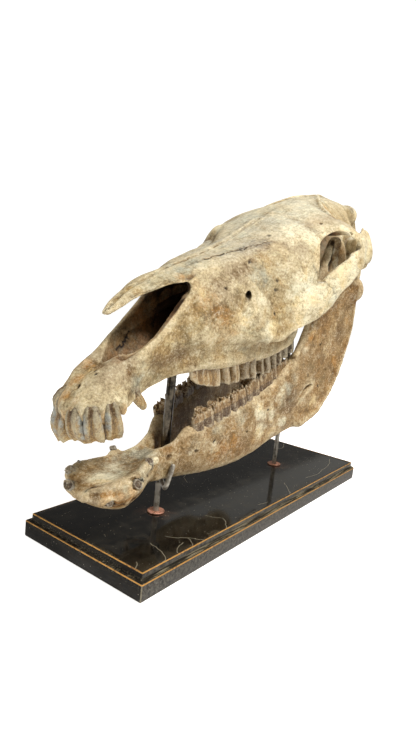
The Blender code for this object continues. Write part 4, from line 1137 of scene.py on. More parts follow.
MANDIBLE_BROWN = (
    (49, 222, -48, 20, 0.5), (43, 180, -46, 26, 0.6), (40, 160, -38, 14, 0.5), (68, 397, 14, 30, 0.45),
    (67, 383, -24, 18, 0.5), (69, 412, 50, 24, 0.4), (64, 350, -10, 26, 0.45), (63, 330, 14, 16, 0.4),
    (58, 279, -36, 22, 0.9), (26, 16, -30, 20, 0.85), (31, 38, -32, 18, 0.7), (20, 3, -14, 14, 0.7),
    (26, 63, -22, 10, 0.4), (30, 80, -24, 12, 0.35), (22, 104, -30, 12, 0.4), (-15, 130, -31, 30, 0.7),
    (-24, 170, -20, 34, 0.75), (-30, 220, -20, 34, 0.7), (66, 408, -30, 16, 0.5), (63, 360, 92, 18, 0.6),
    (58, 276, -16, 12, 0.4), (30, 40, -22, 7, 0.6), (24, 10, -26, 7, 0.5))
MANDIBLE_RUST = (
    (42, 176, -46, 26, 0.52), (37, 154, -42, 18, 0.45), (67, 383, -26, 14, 0.6), (27, 9, -8, 8, 0.7),
    (31, 18, -14, 9, 0.8), (34, 30, -18, 9, 0.8), (24, 6, -14, 8, 0.8), (29, 22, -28, 12, 0.5),
    (20, 14, -32, 12, 0.5), (32, 44, -30, 10, 0.5), (16, 52, -14, 9, 0.4), (61, 326, 26, 8, 0.7),
    (60, 314, 20, 7, 0.6), (49, 226, -34, 12, 0.4), (53, 300, -66, 14, 0.35), (45, 200, 0, 6, 0.5),
    (36, 160, -2, 6, 0.5), (50, 250, 0, 6, 0.5), (66, 420, 20, 14, 0.35), (64, 344, -70, 14, 0.4))
MANDIBLE_SLATE = (
    (58, 279, -36, 18, 0.2), (60, 304, -50, 16, 0.35), (40, 160, -16, 14, 0.4), (0, 40, -12, 26, 0.4),
    (0, 62, -15, 22, 0.55), (-12, 49, -12, 18, 0.5), (10, 40, -11, 16, 0.5), (4, 82, -14, 14, 1),
    (-12, 78, -12, 13, 0.8), (43, 192, -16, 16, 0.5), (56, 270, -18, 12, 0.65), (58, 290, -12, 10, 0.5),
    (-24, 14, 2, 10, 0.5), (8, 2, -5, 7, 0.5), (32, 24, -10, 7, 0.6), (66, 402, 30, 18, 0.25),
    (34, 134, -16, 12, 0.4), (29, 46, -14, 7, 0.6), (62, 336, -30, 12, 0.3))


def laid_on(points, path):
    """The path with each of its points moved to the nearest vertex of the surface."""
    return [points[np.argmin(((points - np.array(p, float)) ** 2).sum(axis=1))] for p in path]


def make_bone(name, mesh, place, tilt, material, node, cracks, pits, paints, seed, extra=None):
    """Sculpt, thin, crack and paint the fused skin of a bone, and show it."""
    points, normals = points_of(mesh), normals_of(mesh)
    growth = lumps(points, seed, 0.45, 0.16, 0.05)
    if extra:
        growth += extra(points)
    move_points(mesh, points + normals * growth[:, None])
    mesh = thinned(mesh, BONE_TRIANGLES)
    points = points_of(mesh)
    paths = [laid_on(points, ragged_path(laid_on(points, path), 0.7, seed + i, 8))
             for i, (path, *_) in enumerate(cracks)]
    pits = laid_on(points, pits)
    for reach, size in ((2.6, 1), (1.3, 0.5)):
        split_near(mesh, paths + [(pit, pit + 0.1) for pit in pits], reach, size)
    points, normals = points_of(mesh), normals_of(mesh)
    dirt = np.zeros(len(points))
    sink = np.zeros(len(points))
    for path, (_, width, depth, dark) in zip(paths, cracks):
        away = distance_to(points, path)
        sink = np.maximum(sink, depth * np.exp(-(away / width) ** 2))
        dirt = np.maximum(dirt, dark * np.exp(-(away / (width * 1.1)) ** 4))
    for pit in pits:
        away = np.linalg.norm(points - pit, axis=1)
        sink = np.maximum(sink, 1.4 * np.exp(-(away / 1.5) ** 2))
        dirt = np.maximum(dirt, np.exp(-(away / 1.3) ** 4))
    points = points - normals * sink[:, None]
    move_points(mesh, points)
    relief = relief_of(mesh, points, 24)
    wide = relief_of(mesh, points, 160)
    paint(mesh, "crack", dirt)
    # Hollows and creases, which the material darkens as dirt and painted shade.
    paint(mesh, "hollow", np.clip(-relief / 1.3, 0, 1) * 0.75 + np.clip(-wide / 6, 0, 1) * 0.5)
    paint(mesh, "edge", np.clip(relief / 1.1, 0, 1) * 0.7 + np.clip(wide / 5, 0, 1) * 0.6)
    for layer, spots in paints.items():
        paint(mesh, layer, patches(points, spots, seed + 40 + len(layer)))
    # Painted light: upward faces of the cranium, from 110 mm back, are lightened as if lit from above.
    upright = normals_of(mesh) @ (0, math.sin(math.radians(tilt)), math.cos(math.radians(tilt)))
    upper = points if node == "cranium" else points * 0     # the jaw gets no painted top light and no painted shade deep inside
    paint(mesh, "painted_top_light", np.clip((upright - 0.6) / 0.32, 0, 1) * np.clip((upper[:, 1] - 110) / 80, 0, 1))
    # Painted shade deep in the nasal cavity, the orbits and the nostril's rim, less on the ridges from the
    # orbit back, where light reaches.
    ridge = np.clip(wide / 3, 0, 1) * (upper[:, 1] > 290)
    paint(mesh, "deep", deep_inside(upper) * (1 - 0.6 * ridge))
    to_world(mesh, place, tilt)
    return show(name, mesh, material, node)


def deep_inside(points):
    """How deep in the nasal cavity or the orbits a point of the cranium lies, or how near it lies to the cut
    along the nostril's rim, from 0 to 1.
    """
    x, s, h = np.abs(points[:, 0]), points[:, 1], points[:, 2]
    side = np.interp(s, [k[0] for k in CAVITY_SIDE], [k[1] for k in CAVITY_SIDE])
    roof = np.interp(s, [k[0] for k in CAVITY_ROOF], [k[2] for k in CAVITY_ROOF])
    floor = np.interp(s, [k[0] for k in CAVITY_FLOOR], [k[2] for k in CAVITY_FLOOR])
    within = np.clip((side + 1.5 - x) / 2, 0, 1) * np.clip((roof + 1 - h) / 3, 0, 1)
    within *= np.clip((h - floor + 2.5) / 2, 0, 1)
    nose = within * np.clip((s - 46) / 14, 0, 1) * (0.55 + 0.45 * np.clip((s - 100) / 45, 0, 1))
    axis = np.array(ORBIT_INWARDS)
    away = np.stack([x, s, h], axis=1) - ORBIT_MOUTH
    depth = -(away @ axis)
    across = away + depth[:, None] * axis
    socket = np.clip((1.7 - np.hypot(across[:, 1] / 34, across[:, 2] / 22)) / 0.3, 0, 1)
    socket *= 0.95 * np.clip((depth - 4) / 14, 0, 1) * np.clip((x - 14) / 8, 0, 1)
    rim = np.minimum(distance_to(points, [place for place, *_ in NOSE_RIM]),
                     distance_to(points, NOSE_NOTCH) + 0.5)
    rim = np.clip((6.9 - rim) / 0.8, 0, 1) * (0.4 + 0.6 * np.clip((s - 80) / 40, 0, 1))
    return np.clip(np.maximum(np.maximum(nose, socket), rim), 0, 1)


def cranium_sculpt(points):
    """Growth of the cranium's broad forms: valley under the cheek hole, crest, worn brow."""
    sides = folded(points)
    growth = np.zeros(len(points))
    growth -= 2.2 * near(sides, ((50, 186, 62), (57, 190, 42), (58, 192, 30)), 8)
    growth -= 1.2 * near(sides, ((34, 150, 80), (44, 190, 88), (52, 226, 92)), 12)
    growth += 0.8 * near(sides, ((30, 60, 26), (29, 90, 42), (30, 118, 60), (31, 134, 74)), 4)
    growth -= 1.8 * near(sides, ((26, 84, 18), (32, 112, 18), (38, 132, 12)), 9)
    growth += 1.1 * near(sides, ((70, 206, 14), (73, 228, 9), (78, 249, 17), (80, 266, 18)),
                         5) * cloud(points, 5.5, 77)
    rough = near(sides, ((0, 8, 20), (10, 30, 26)), 12)
    growth += 0.6 * rough * cloud(points, 3.4, 78)
    growth += 0.5 * near(sides, ((33, 130, 0), (42, 163, -4), (53, 240, -13), (52, 290, -10)),
                         4) * cloud(points * (1, 1, 0.3), 7, 79)
    front = np.clip((30 - points[:, 1]) / 20, 0, 1) * np.clip((5 - points[:, 2]) / 6, 0, 1)
    growth += front * (0.9 * cloud(points * (1, 1, 0.5), 5, 80) - 1.4)
    growth += 1 * near(sides, ((84, 306, 64), (88, 322, 67), (92, 345, 76), (94, 366, 86)), 4)
    growth -= 2.4 * near(sides, ((88, 316, 50), (92, 336, 56), (95, 354, 65), (96, 372, 74)), 5)
    growth += 3 * near(points, ((-56, 297, 114), (-56, 297, 114)), 9)
    growth -= 10.5 * near(points, ((-34, 232, 106), (-46, 260, 111), (-54, 277, 113)),
                          13) * np.clip((288 - points[:, 1]) / 8, 0, 1)
    growth -= 5.5 * near(points, ((-21, 9, 12), (-26, 10, 1)), 13)
    growth -= 10 * near(sides, ((42, 494, 104), (42, 494, 104)), 16)
    seam = distance_to(points, ((0, 50, 72), (0, 68, 81), (0, 99, 90.5), (0, 131, 97), (0, 165, 101),
                                (0, 235, 111), (0, 300, 128)))
    growth += 0.7 * np.exp(-((seam - 5) / 2.5) ** 2) - 1.4 * np.exp(-(seam / 2) ** 2)
    beak = np.clip((165 - points[:, 1]) / 30, 0, 1) * np.clip((points[:, 2] - 66) / 6, 0, 1)
    growth += 0.35 * beak * cloud(points * (1, 0.12, 0.6), 3.4, 81)
    return growth


def mandible_sculpt(points):
    """Growth of the mandible's broad forms: masseter field, waves over the tooth roots, rough chin."""
    sides = folded(points)
    growth = np.zeros(len(points))
    growth -= 2.2 * near(sides, ((68, 400, 0), (66, 370, -14), (64, 345, 0)), 24)
    growth -= 1.6 * near(sides, ((66, 410, 40), (64, 372, 40)), 18)
    lines = near(sides, ((64, 400, -34), (62, 350, -62), (58, 300, -70)), 15)
    growth += 0.35 * lines * np.sin((points[:, 1] + 0.8 * points[:, 2]) * 0.5 + 4 * cloud(points, 16, 5))
    growth += 0.5 * lines * cloud(points, 9, 8)
    growth -= 2.8 * near(sides, ((61.5, 374, 110), (62, 391, 120), (62.5, 402, 106)), 8)
    growth += 0.5 * near(sides, ((36, 140, -20), (46, 200, -22), (54, 262, -18)),
                         12) * np.sin((points[:, 1] - 131) * 2 * math.pi / 26)
    chin = near(sides, ((0, 0, -14), (24, 8, -16), (33, 30, -18)), 12)
    growth += 1.1 * chin * cloud(points, 6.5, 6) + 0.6 * chin * cloud(points, 3.2, 7)
    growth -= 1.4 * near(sides, ((28, 60, -30), (24, 84, -32)), 10)
    return growth


def make_cranium(material):
    """Cranium with all its openings."""
    mesh = to_mesh(clay_of(add_face, add_nasal_beak, add_frontal_roof, add_braincase, both(add_arch),
                           both(add_crests), add_skull_base, both(add_incisor_roots)))
    mesh = remeshed(mesh, FORM_VOXEL)
    cutters = [cavity_cutter, choana_cutter, foramen_magnum_cutter, small_holes_cutter]
    cutters += [mirrored(make, sign) for make in (orbit_cutter, foramen_cutter) for sign in (1, -1)]
    mesh = carved(mesh, [clay_of(make) for make in cutters])
    clay = clay_from(mesh)
    add_nasal_septum(clay)
    mesh = remeshed(to_mesh(clay), BONE_VOXEL, 3)
    paints = {"pale": CRANIUM_PALE, "brown": CRANIUM_BROWN, "rust": CRANIUM_RUST, "slate": CRANIUM_SLATE}
    make_bone("cranium_bone", mesh, CRANIUM_PLACE, CRANIUM_TILT, material, "cranium", CRANIUM_CRACKS,
              CRANIUM_PITS, paints, 101, cranium_sculpt)


def make_mandible(material):
    """Lower jaw, both branches fused at the chin."""
    mesh = to_mesh(clay_of(add_chin, both(add_jaw_body), both(add_ramus), add_chin_wear))
    mesh = carved(remeshed(mesh, FORM_VOXEL), [clay_of(jaw_holes_cutter)])
    mesh = remeshed(mesh, BONE_VOXEL, 3)
    paints = {"pale": MANDIBLE_PALE, "brown": MANDIBLE_BROWN, "rust": MANDIBLE_RUST, "slate": MANDIBLE_SLATE}
    make_bone("mandible_bone", mesh, MANDIBLE_PLACE, MANDIBLE_TILT, material, "mandible", MANDIBLE_CRACKS,
              MANDIBLE_PITS, paints, 202, mandible_sculpt)


def make_teeth(name, make, sides, place, tilt, material, node, bite, seed, roughness=0.16):
    """Fuse, roughen and paint teeth, and show them as one piece."""
    clay = bmesh.new()
    for sign in sides:
        pour(clay_of(mirrored(make, sign)), clay)
    mesh = remeshed(to_mesh(clay), TOOTH_VOXEL, 1)
    points, normals = points_of(mesh), normals_of(mesh)
    tall = points * (1, 1, 0.22)
    growth = roughness * (1.4 * cloud(tall, 2.6, seed) + cloud(points, 1.8, seed + 1)
                          + 1.5 * cloud(tall, 6, seed + 2))
    points = points + normals * growth[:, None]
    if bite is INCISOR_BITE:
        far = np.clip(-points[:, 0] / 6, 0, 1)
        low = far * np.clip(-points[:, 2] / 25, 0, 1.1) ** 2
        neck = far * np.exp(-((points[:, 2] + 5) / 8) ** 2)
        points = points + low[:, None] * (-1.5, -3, -4) + neck[:, None] * (3.4, 2.6, 0)
    move_points(mesh, points)
    mesh = thinned(mesh, TOOTH_TRIANGLES)
    points = points_of(mesh)
    relief = relief_of(mesh, points, 20 if bite is INCISOR_BITE else 14)
    tip = np.interp(points[:, 1], [k[0] for k in bite], [k[1] for k in bite])
    # How far down each tooth a point lies and where its grooves are: these place the painted shadow at the
    # neck and the painted shade in the grooves.
    paint(mesh, "tip", np.clip(points[:, 2] / tip, 0, 1))
    paint(mesh, "back", np.clip((points[:, 1] - 125) / 170, 0, 1))
    paint(mesh, "hollow", np.clip(-relief / 0.7, 0, 1))
    paint(mesh, "edge", np.clip(relief / 0.6, 0, 1))
    paint(mesh, "slate", patches(points, INCISOR_SLATE if bite is INCISOR_BITE else (), seed + 5, False, 0.2))
    to_world(mesh, place, tilt)
    return show(name, mesh, material, node)


INCISOR_BITE = ((-20, INCISOR_TIP), (60, INCISOR_TIP))
CANINE_BITE = ((40, -18.6), (80, -18.6))
STUMP_BITE = ((-20, 3), (80, 3))
INCISOR_SLATE = (
    (19, 0, -5, 6, 1), (20, -1, -12, 5, 1), (17, 0, -20, 4, 0.7), (33, 12, -4, 6, 1), (34, 11, -12, 5, 0.9),
    (-5, -6, -10, 5, 0.8), (-20, 0, -6, 6, 1), (-21, 0, -14, 5, 0.9), (-28, 6, -6, 6, 1),
    (-32, 12, -12, 6, 0.9), (12, -7, -21, 4, 0.6), (-12, -6, -20, 4, 0.6))


# ---- stand
def plan_ring(inset, z):
    """Outline of the plinth seen from above, one corner more worn than the others, at a height."""
    ring = []
    half_width, half_length = PLINTH_WIDTH / 2 - inset, PLINTH_LENGTH / 2 - inset
    for sx, sy, radius in ((1, 1, 8), (-1, 1, 2), (-1, -1, 2), (1, -1, 1.4)):
        radius = max(radius - inset, 0.5)
        centre = Vector((sx * (half_width - radius), sy * (half_length - radius), z))
        start = {(1, 1): 0, (-1, 1): 90, (-1, -1): 180, (1, -1): 270}[(sx, sy)]
        for k in range(9):
            a = math.radians(start + 90 * k / 8)
            ring.append(centre + Vector((math.cos(a), math.sin(a), 0)) * radius)
    return ring


def evened(rings):
    """The rings with as many points in each as the shortest has."""
    count = min(len(ring) for ring in rings)
    return [[ring[round(k * len(ring) / count) % len(ring)] for k in range(count)] for ring in rings]


def spread(ring, size):
    """The ring with points added on its long sides, about size millimetres apart."""
    fine = []
    for a, b in zip(ring, ring[1:] + ring[:1]):
        count = max(1, round((b - a).length / size))
        fine += [a + (b - a) * (k / count) for k in range(count)]
    return fine


HAIR_CRACKS = (
    ((44, -187), (50, -188.5), (56, -190), (62, -191), (67, -194), (71, -196.5), (74, -200), (74.5, -209)),
    ((44, -166), (50, -163), (56, -157), (61, -152), (68, -148), (74, -144)),
    ((74, -182), (69, -178), (65, -169), (64, -163)), ((62, -153), (67, -155), (74, -162)),
    ((42, -98), (49, -96), (54, -92), (58, -89), (63, -92), (67, -96), (74, -105)),
    ((50, 62), (55, 57), (59, 52), (64, 46), (69, 40), (74, 34)), ((64, -27), (66.5, -20), (68, -10)),
    ((46, 214), (50, 204), (54, 196), (57, 184), (59.5, 170), (60, 155), (62.5, 146), (64, 134), (62, 118),
     (60, 103)), ((66, -232), (63, -224), (59, -221)), ((-40, 226), (-34, 214), (-28, 200), (-34, 180)),
    ((-74, 60), (-60, 52), (-52, 64)), ((-30, -40), (-44, -30), (-52, -12), (-74, -6)))


def make_plinth(material, side_material, gold):
    """Lacquered board: a full lower slab, a top set in behind a step, and two fine gold lines."""
    lip, top = SLAB_HEIGHT, PLINTH_HEIGHT
    profile = ((0, 1.4), (0.5, 0.5), (1.6, 0), (8, 0), (lip - 1.2, 0), (lip - 0.5, 0.25),
               (lip - 0.05, 0.9), (lip + 0.15, 2.4), (lip + 0.2, 3.6), (lip + 0.6, 4.4),
               (lip + 1.6, TOP_INSET), (top - 1.4, TOP_INSET + 0.1), (top - 0.5, TOP_INSET + 0.35),
               (top, TOP_INSET + 1.1))
    clay = bmesh.new()
    add_loft(clay, evened([spread(plan_ring(inset, z), 6) for z, inset in profile]))
    lid = max((f for f in clay.faces if len(f.verts) > 8), key=lambda f: f.calc_center_median().z)
    bmesh.ops.delete(clay, geom=[lid], context="FACES_ONLY")
    edges = [e for e in clay.edges if e.is_boundary]
    bmesh.ops.triangle_fill(clay, edges=edges, use_beauty=True)
    for _ in range(4):
        long = [e for e in clay.edges if e.calc_length() > 9 * MM
                and min(v.co.z for v in e.verts) > (top - 0.2) * MM]
        bmesh.ops.subdivide_edges(clay, edges=long, cuts=1)
        cut_up(clay)
    mesh = to_mesh(clay)
    paths = []
    for i, crack in enumerate(HAIR_CRACKS):
        crack = ragged_path([(*place, top) for place in crack], 0.45, 60 + i, 3)
        paths.append([np.array((x, y, top)) for x, y, z in crack])
    for reach, size in ((15, 3), (4.5, 1.2), (1.6, 0.4)):
        split_near(mesh, paths, reach, size)
    points, normals = points_of(mesh), normals_of(mesh)
    hair = np.zeros(len(points))
    for path in paths:
        hair = np.maximum(hair, np.exp(-(distance_to(points, path) / 0.3) ** 4))
    points[:, 2] -= 0.08 * hair
    wave = 0.12 * cloud(points, 30, 3) + 0.05 * cloud(points, 9, 4)
    level = (points[:, 2] < top - 1.5) & (points[:, 2] > 1.5)
    points += normals * (wave * level)[:, None]
    move_points(mesh, points)
    paint(mesh, "hair", hair)
    wear = np.zeros(len(points))
    for z, inset, reach in ((lip - 0.4, 0.4, 0.7), (top - 0.3, TOP_INSET + 0.5, 0.7), (0.4, 0.6, 0.8)):
        ring = plan_ring(inset, z)
        wear = np.maximum(wear, 0.8 * near(points, ring + ring[:1], reach))
    for sx, sy in itertools.product((-1, 1), repeat=2):
        post = ((sx * PLINTH_WIDTH / 2, sy * PLINTH_LENGTH / 2, 0),
                (sx * PLINTH_WIDTH / 2, sy * PLINTH_LENGTH / 2, top))
        wear = np.maximum(wear, near(points, post, 1))
    paint(mesh, "edge", wear)
    # Painted sheen along the step below the top, stronger on the right face.
    step = (points[:, 2] > lip - 0.3) & (points[:, 2] < lip + 1.8)
    paint(mesh, "step", step * (0.35 + 0.65 * (points[:, 0] > PLINTH_WIDTH / 2 - TOP_INSET - 1)))
    # Painted light: sides turned to the right are painted grey, as if lit from the right.
    paint(mesh, "lit_right_face", np.clip(normals[:, 0], 0, 1) ** 2 * (points[:, 2] < top - 1))
    blush = np.zeros(len(points))
    for x, y in (FRONT_ROD, REAR_ROD):
        away = np.hypot(points[:, 0] - x, points[:, 1] - y)
        blush = np.maximum(blush, np.exp(-(away / 17) ** 2))
    paint(mesh, "blush", blush)
    show("plinth_board", mesh, material, "plinth")
    mesh.materials.append(side_material)
    for face in mesh.polygons:
        face.material_index = 0 if face.center.z > (top - 0.6) * MM else 1
    for name, z, inset in (("gold_line_lower", lip - 0.35, 0.35),
                           ("gold_line_upper", top - 0.35, TOP_INSET + 0.45)):
        make_gold_line(name, z, inset, gold)


def make_gold_line(name, z, inset, material):
    """Fine painted line along an upper edge of the plinth."""
    clay = bmesh.new()
    half, lean = 0.52, 0.55
    section = ((-half * lean, half), (half, -half * lean), (half * 0.6, -half), (-half, half * 0.6))
    rings = evened([spread(plan_ring(inset - out * 0.9, z + up * 0.9), 8) for out, up in section])
    loops = [[clay.verts.new(p * MM) for p in ring] for ring in rings]
    for a, b in zip(loops, loops[1:] + loops[:1]):
        for k in range(len(a)):
            j = (k + 1) % len(a)
            clay.faces.new((a[k], a[j], b[j], b[k]))
    bmesh.ops.recalc_face_normals(clay, faces=clay.faces)
    show(name, to_mesh(clay), material, "plinth")


def lathe(profile, x, y, steps=48):
    """Turned shape from a closed profile of (radius, z) points round an upright axis."""
    clay = bmesh.new()
    loops = [[clay.verts.new(Vector((x + r * cos, y + r * sin, z)) * MM) for r, z in profile]
             for cos, sin in circle(steps)]
    for a, b in zip(loops, loops[1:] + loops[:1]):
        for i in range(len(profile)):
            j = (i + 1) % len(profile)
            clay.faces.new((a[i], b[i], b[j], a[j]))
    bmesh.ops.recalc_face_normals(clay, faces=clay.faces)
    return to_mesh(clay)


def rod_mesh(x, y, low, high, diameter):
    """Round rod with small chamfers, a flat foot and a domed end."""
    radius = diameter / 2
    clay = bmesh.new()
    levels = [(low, radius * 0.86), (low + 0.5, radius)]
    levels += [(low + (high - low) * k / 24, radius) for k in range(1, 24)]
    levels += [(high - 1.2, radius), (high - 0.4, radius * 0.82), (high, radius * 0.4)]
    add_loft(clay, [[(x + r * cos, y + r * sin, z) for cos, sin in circle(32)] for z, r in levels])
    return to_mesh(clay)


def rounded_route(corners, radius, steps):
    """Polyline with its inner corners replaced by short arcs."""
    corners = [Vector(c) for c in corners]
    route = [corners[0]]
    for before, corner, after in zip(corners, corners[1:], corners[2:]):
        start = corner + (before - corner).normalized() * radius
        end = corner + (after - corner).normalized() * radius
        for k in range(steps + 1):
            t = k / steps
            route.append(start * (1 - t) ** 2 + corner * 2 * t * (1 - t) + end * t * t)
    route.append(corners[-1])
    return route


def make_cradle(material):
    """Bent bar that passes under the jaw and turns up outside both branches, with domed finger ends."""
    top_y, top_z = FINGER_TOP
    finger = [(FINGER_X, top_y, top_z), (FINGER_X, FINGER_FOOT_Y, CRADLE_HEIGHT)]
    corners = finger + [(0, CRADLE_MIDDLE_Y, CRADLE_HEIGHT)] + [(-x, y, z) for x, y, z in reversed(finger)]
    route = rounded_route(corners, 6, 10)
    radius = FINGER_DIAMETER / 2

    def dome(tip, inner):
        along = (inner - tip).normalized()
        return [(tip + along * back, radius * size, radius * size)
                for back, size in ((0, 0.35), (0.5, 0.72), (1.2, 0.92), (2.2, 1))]

    middle = [(p, radius, radius) for p in route[1:-1]]
    path = dome(route[0], route[1]) + middle + dome(route[-1], route[-2])[::-1]
    clay = bmesh.new()
    add_strut(clay, path, sides=24, upright=(0, 1, 0.3))
    show("cradle_bar", to_mesh(clay), material, "jaw_cradle")


def make_stand(steel, dark_steel, copper):
    """Rods, post, cradle and collars."""
    foot = PLINTH_HEIGHT + TOUCH_GAP
    clearance = FINGER_DIAMETER / 2 + TOUCH_GAP
    show("front_rod_bar", rod_mesh(*FRONT_ROD, foot, CRADLE_HEIGHT - clearance, ROD_DIAMETER), steel,
         "front_rod")
    show("front_post_bar", rod_mesh(*POST, CRADLE_HEIGHT + clearance, POST_TOP, POST_DIAMETER), dark_steel,
         "front_post")
    show("rear_rod_bar", rod_mesh(*REAR_ROD, foot, REAR_ROD_TOP, ROD_DIAMETER), steel, "rear_rod")
    make_cradle(steel)
    inner = ROD_DIAMETER / 2 + TOUCH_GAP
    for name, (x, y) in (("front_collar", FRONT_ROD), ("rear_collar", REAR_ROD)):
        profile = [(inner, foot), (inner, foot + 1.2), (inner + 0.7, foot + 1.5), (inner + 1.6, foot + 0.9),
                   (inner + 2.8, foot + 0.7), (COLLAR_REACH - 1.8, foot + 1.1),
                   (COLLAR_REACH - 0.9, foot + 1.6), (COLLAR_REACH - 0.2, foot + 1.3),
                   (COLLAR_REACH, foot + 0.7), (COLLAR_REACH - 0.4, foot)]
        show(name + "_disc", lathe(profile, x, y), copper, name)


# ---- finishes
def shade(red, green, blue):
    """Colour from screen values of 0 to 255."""
    return tuple((c / 255 / 12.92 if c <= 10 else ((c / 255 + 0.055) / 1.055) ** 2.4)
                 for c in (red, green, blue)) + (1,)


def spaced(sockets):
    """Socket names with spaces for underscores."""
    return {name.replace("_", " "): value for name, value in sockets.items()}


class Board:
    """Short ways to place and join the nodes of one tree."""

    def __init__(self, tree):
        self.tree = tree

    def fill(self, node, sockets):
        """Give a node's sockets their links and values."""
        for key, value in sockets.items():
            if isinstance(value, bpy.types.NodeSocket):
                self.tree.links.new(value, node.inputs[key])
            else:
                node.inputs[key].default_value = value
        return node

    def put(self, kind, sockets=None, **settings):
        node = self.tree.nodes.new("ShaderNode" + kind)
        for name, value in settings.items():
            setattr(node, name, value)
        return self.fill(node, sockets or {})

    def noise(self, vector, scale, detail=3, roughness=0.55, distortion=0):
        return self.put("TexNoise", {"Vector": vector, "Scale": scale, "Detail": detail,
                                     "Roughness": roughness, "Distortion": distortion}).outputs["Fac"]

    def maths(self, operation, a, b):
        return self.put("Math", {0: a, 1: b}, operation=operation, use_clamp=False).outputs[0]

    def times(self, a, b):
        return self.maths("MULTIPLY", a, b)

    def total(self, *parts):
        """Sum of values, each with its weight."""
        result = self.times(*parts[0])
        for part in parts[1:]:
            result = self.maths("ADD", result, self.times(*part))
        return result

    def span(self, value, low, high, to_low=0, to_high=1):
        return self.put("MapRange", {0: value, 1: low, 2: high, 3: to_low, 4: to_high},
                        interpolation_type="SMOOTHSTEP").outputs[0]

    def blend(self, factor, a, b, mode="MIX"):
        return self.put("Mix", {0: factor, 6: a, 7: b}, data_type="RGBA", blend_type=mode).outputs[2]

    def tint(self, colour, tone, amount, strength=1, mode="MIX"):
        """The colour with a tone laid over it where the amount says."""
        factor = amount if strength == 1 else self.times(amount, strength)
        return self.blend(factor, colour, shade(*tone), mode)

    def two_tone(self, value, low, high, first, second):
        """Colour that goes from the first tone to the second as the value goes from low to high."""
        return self.blend(self.span(value, low, high), shade(*first), shade(*second))

    def stretched(self, vector, scale):
        return self.put("Mapping", {"Vector": vector, "Scale": scale}).outputs[0]

    def layer(self, name):
        return self.put("Attribute", attribute_type="GEOMETRY", attribute_name=name).outputs["Fac"]

    def group(self, name, **sockets):
        """A shared effect, placed on the object with its own values."""
        return self.put("Group", {"Vector": self.place, **spaced(sockets)}, node_tree=EFFECTS[name]).outputs

    def mottle(self, tones, scale):
        return self.group("bone mottle", Broad_Scale=scale, Light=shade(*tones["light"]),
                          Middle=shade(*tones["middle"]), Dark=shade(*tones["dark"]))

    def soak(self, colour, tone, amount, scale, strength):
        return self.group("ragged stain", Scale=scale, Color=colour, Stain=shade(*tone), Amount=amount,
                          Strength=strength)["Color"]

    def bump(self, height, strength, distance):
        return self.put("Bump", {"Height": height, "Strength": strength, "Distance": distance}).outputs[0]

    def finish(self, **sockets):
        """Give the shader its values, in sockets named with underscores for spaces."""
        self.fill(self.shader, spaced(sockets))


EFFECTS = {}


def make_group(name, inputs, outputs, wire):
    """Shared effect: wire joins named inputs, each a kind of socket or its usual value, to the outputs."""
    tree = bpy.data.node_groups.new(name, "ShaderNodeTree")
    for title, usual in inputs.items():
        kind = usual if isinstance(usual, str) else "Float" if isinstance(usual, float) else "Vector"
        socket = tree.interface.new_socket(title, in_out="INPUT", socket_type="NodeSocket" + kind)
        if kind != usual:
            socket.default_value = usual
    for title, kind in outputs.items():
        tree.interface.new_socket(title, in_out="OUTPUT", socket_type="NodeSocket" + kind)
    entry, way_out = tree.nodes.new("NodeGroupInput"), tree.nodes.new("NodeGroupOutput")
    for title, socket in wire(Board(tree), entry.outputs).items():
        tree.links.new(socket, way_out.inputs[title])
    EFFECTS[name] = tree


def make_mottle():
    """Blotches of three tones at three sizes, as on old bone."""
    def wire(board, given):
        place, scale = given["Vector"], given["Broad Scale"]
        broad = board.noise(place, scale, 3, 0.6, 0.4)
        middle = board.noise(place, board.times(scale, 3.6), 4, 0.62, 0.3)
        fine = board.noise(place, board.times(scale, 10), 5, 0.75)
        mask = board.total((broad, 0.36), (middle, 0.36), (fine, 0.28))
        lower = board.blend(board.span(mask, 0.36, 0.49), given["Dark"], given["Middle"])
        colour = board.blend(board.span(mask, 0.5, 0.64), lower, given["Light"])
        return {"Color": colour, "Mask": mask, "Fine": fine}
    make_group("bone mottle", {"Vector": "Vector", "Broad Scale": 40.0, "Dark": "Color", "Middle": "Color",
                               "Light": "Color"}, {"Color": "Color", "Mask": "Float", "Fine": "Float"}, wire)


def make_speckle():
    """Fine dark and pale flecks laid over a colour, in clumps."""
    def wire(board, given):
        place, amount = given["Vector"], given["Amount"]
        flecks = board.noise(place, given["Scale"], 5, 0.8, 0.3)
        clumps = board.noise(place, board.times(given["Scale"], 0.2), 3, 0.6, 0.5)
        mask = board.maths("ADD", flecks, board.times(board.maths("SUBTRACT", clumps, 0.5), 0.45))
        dark = board.times(board.span(mask, 0.36, 0.5, 1, 0), amount)
        light = board.times(board.span(mask, 0.52, 0.66), amount)
        colour = board.blend(dark, given["Color"], given["Dark"], "MULTIPLY")
        return {"Color": board.blend(board.times(light, 0.6), colour, given["Light"]), "Mask": mask}
    make_group("speckle", {"Vector": "Vector", "Scale": 400.0, "Color": "Color", "Dark": "Color",
                           "Light": "Color", "Amount": 1.0}, {"Color": "Color", "Mask": "Float"}, wire)


def make_pores():
    """Fine dark pores and short scratches between them."""
    def wire(board, given):
        place, scale = given["Vector"], given["Scale"]
        cells = board.put("TexVoronoi", {"Vector": place, "Scale": scale, "Randomness": 1})
        dots = board.span(cells.outputs["Distance"], 0.12, 0.3, 1, 0)
        where = board.span(board.noise(place, board.times(scale, 0.16), 2), 0.46, 0.6)
        flecks = board.span(board.noise(place, board.times(scale, 0.8), 2, 0.6), 0.6, 0.7)
        mask = board.maths("MAXIMUM", board.times(dots, where), board.times(flecks, 0.7))
        return {"Mask": board.times(mask, given["Amount"])}
    make_group("pores", {"Vector": "Vector", "Scale": 600.0, "Amount": 1.0}, {"Mask": "Float"}, wire)


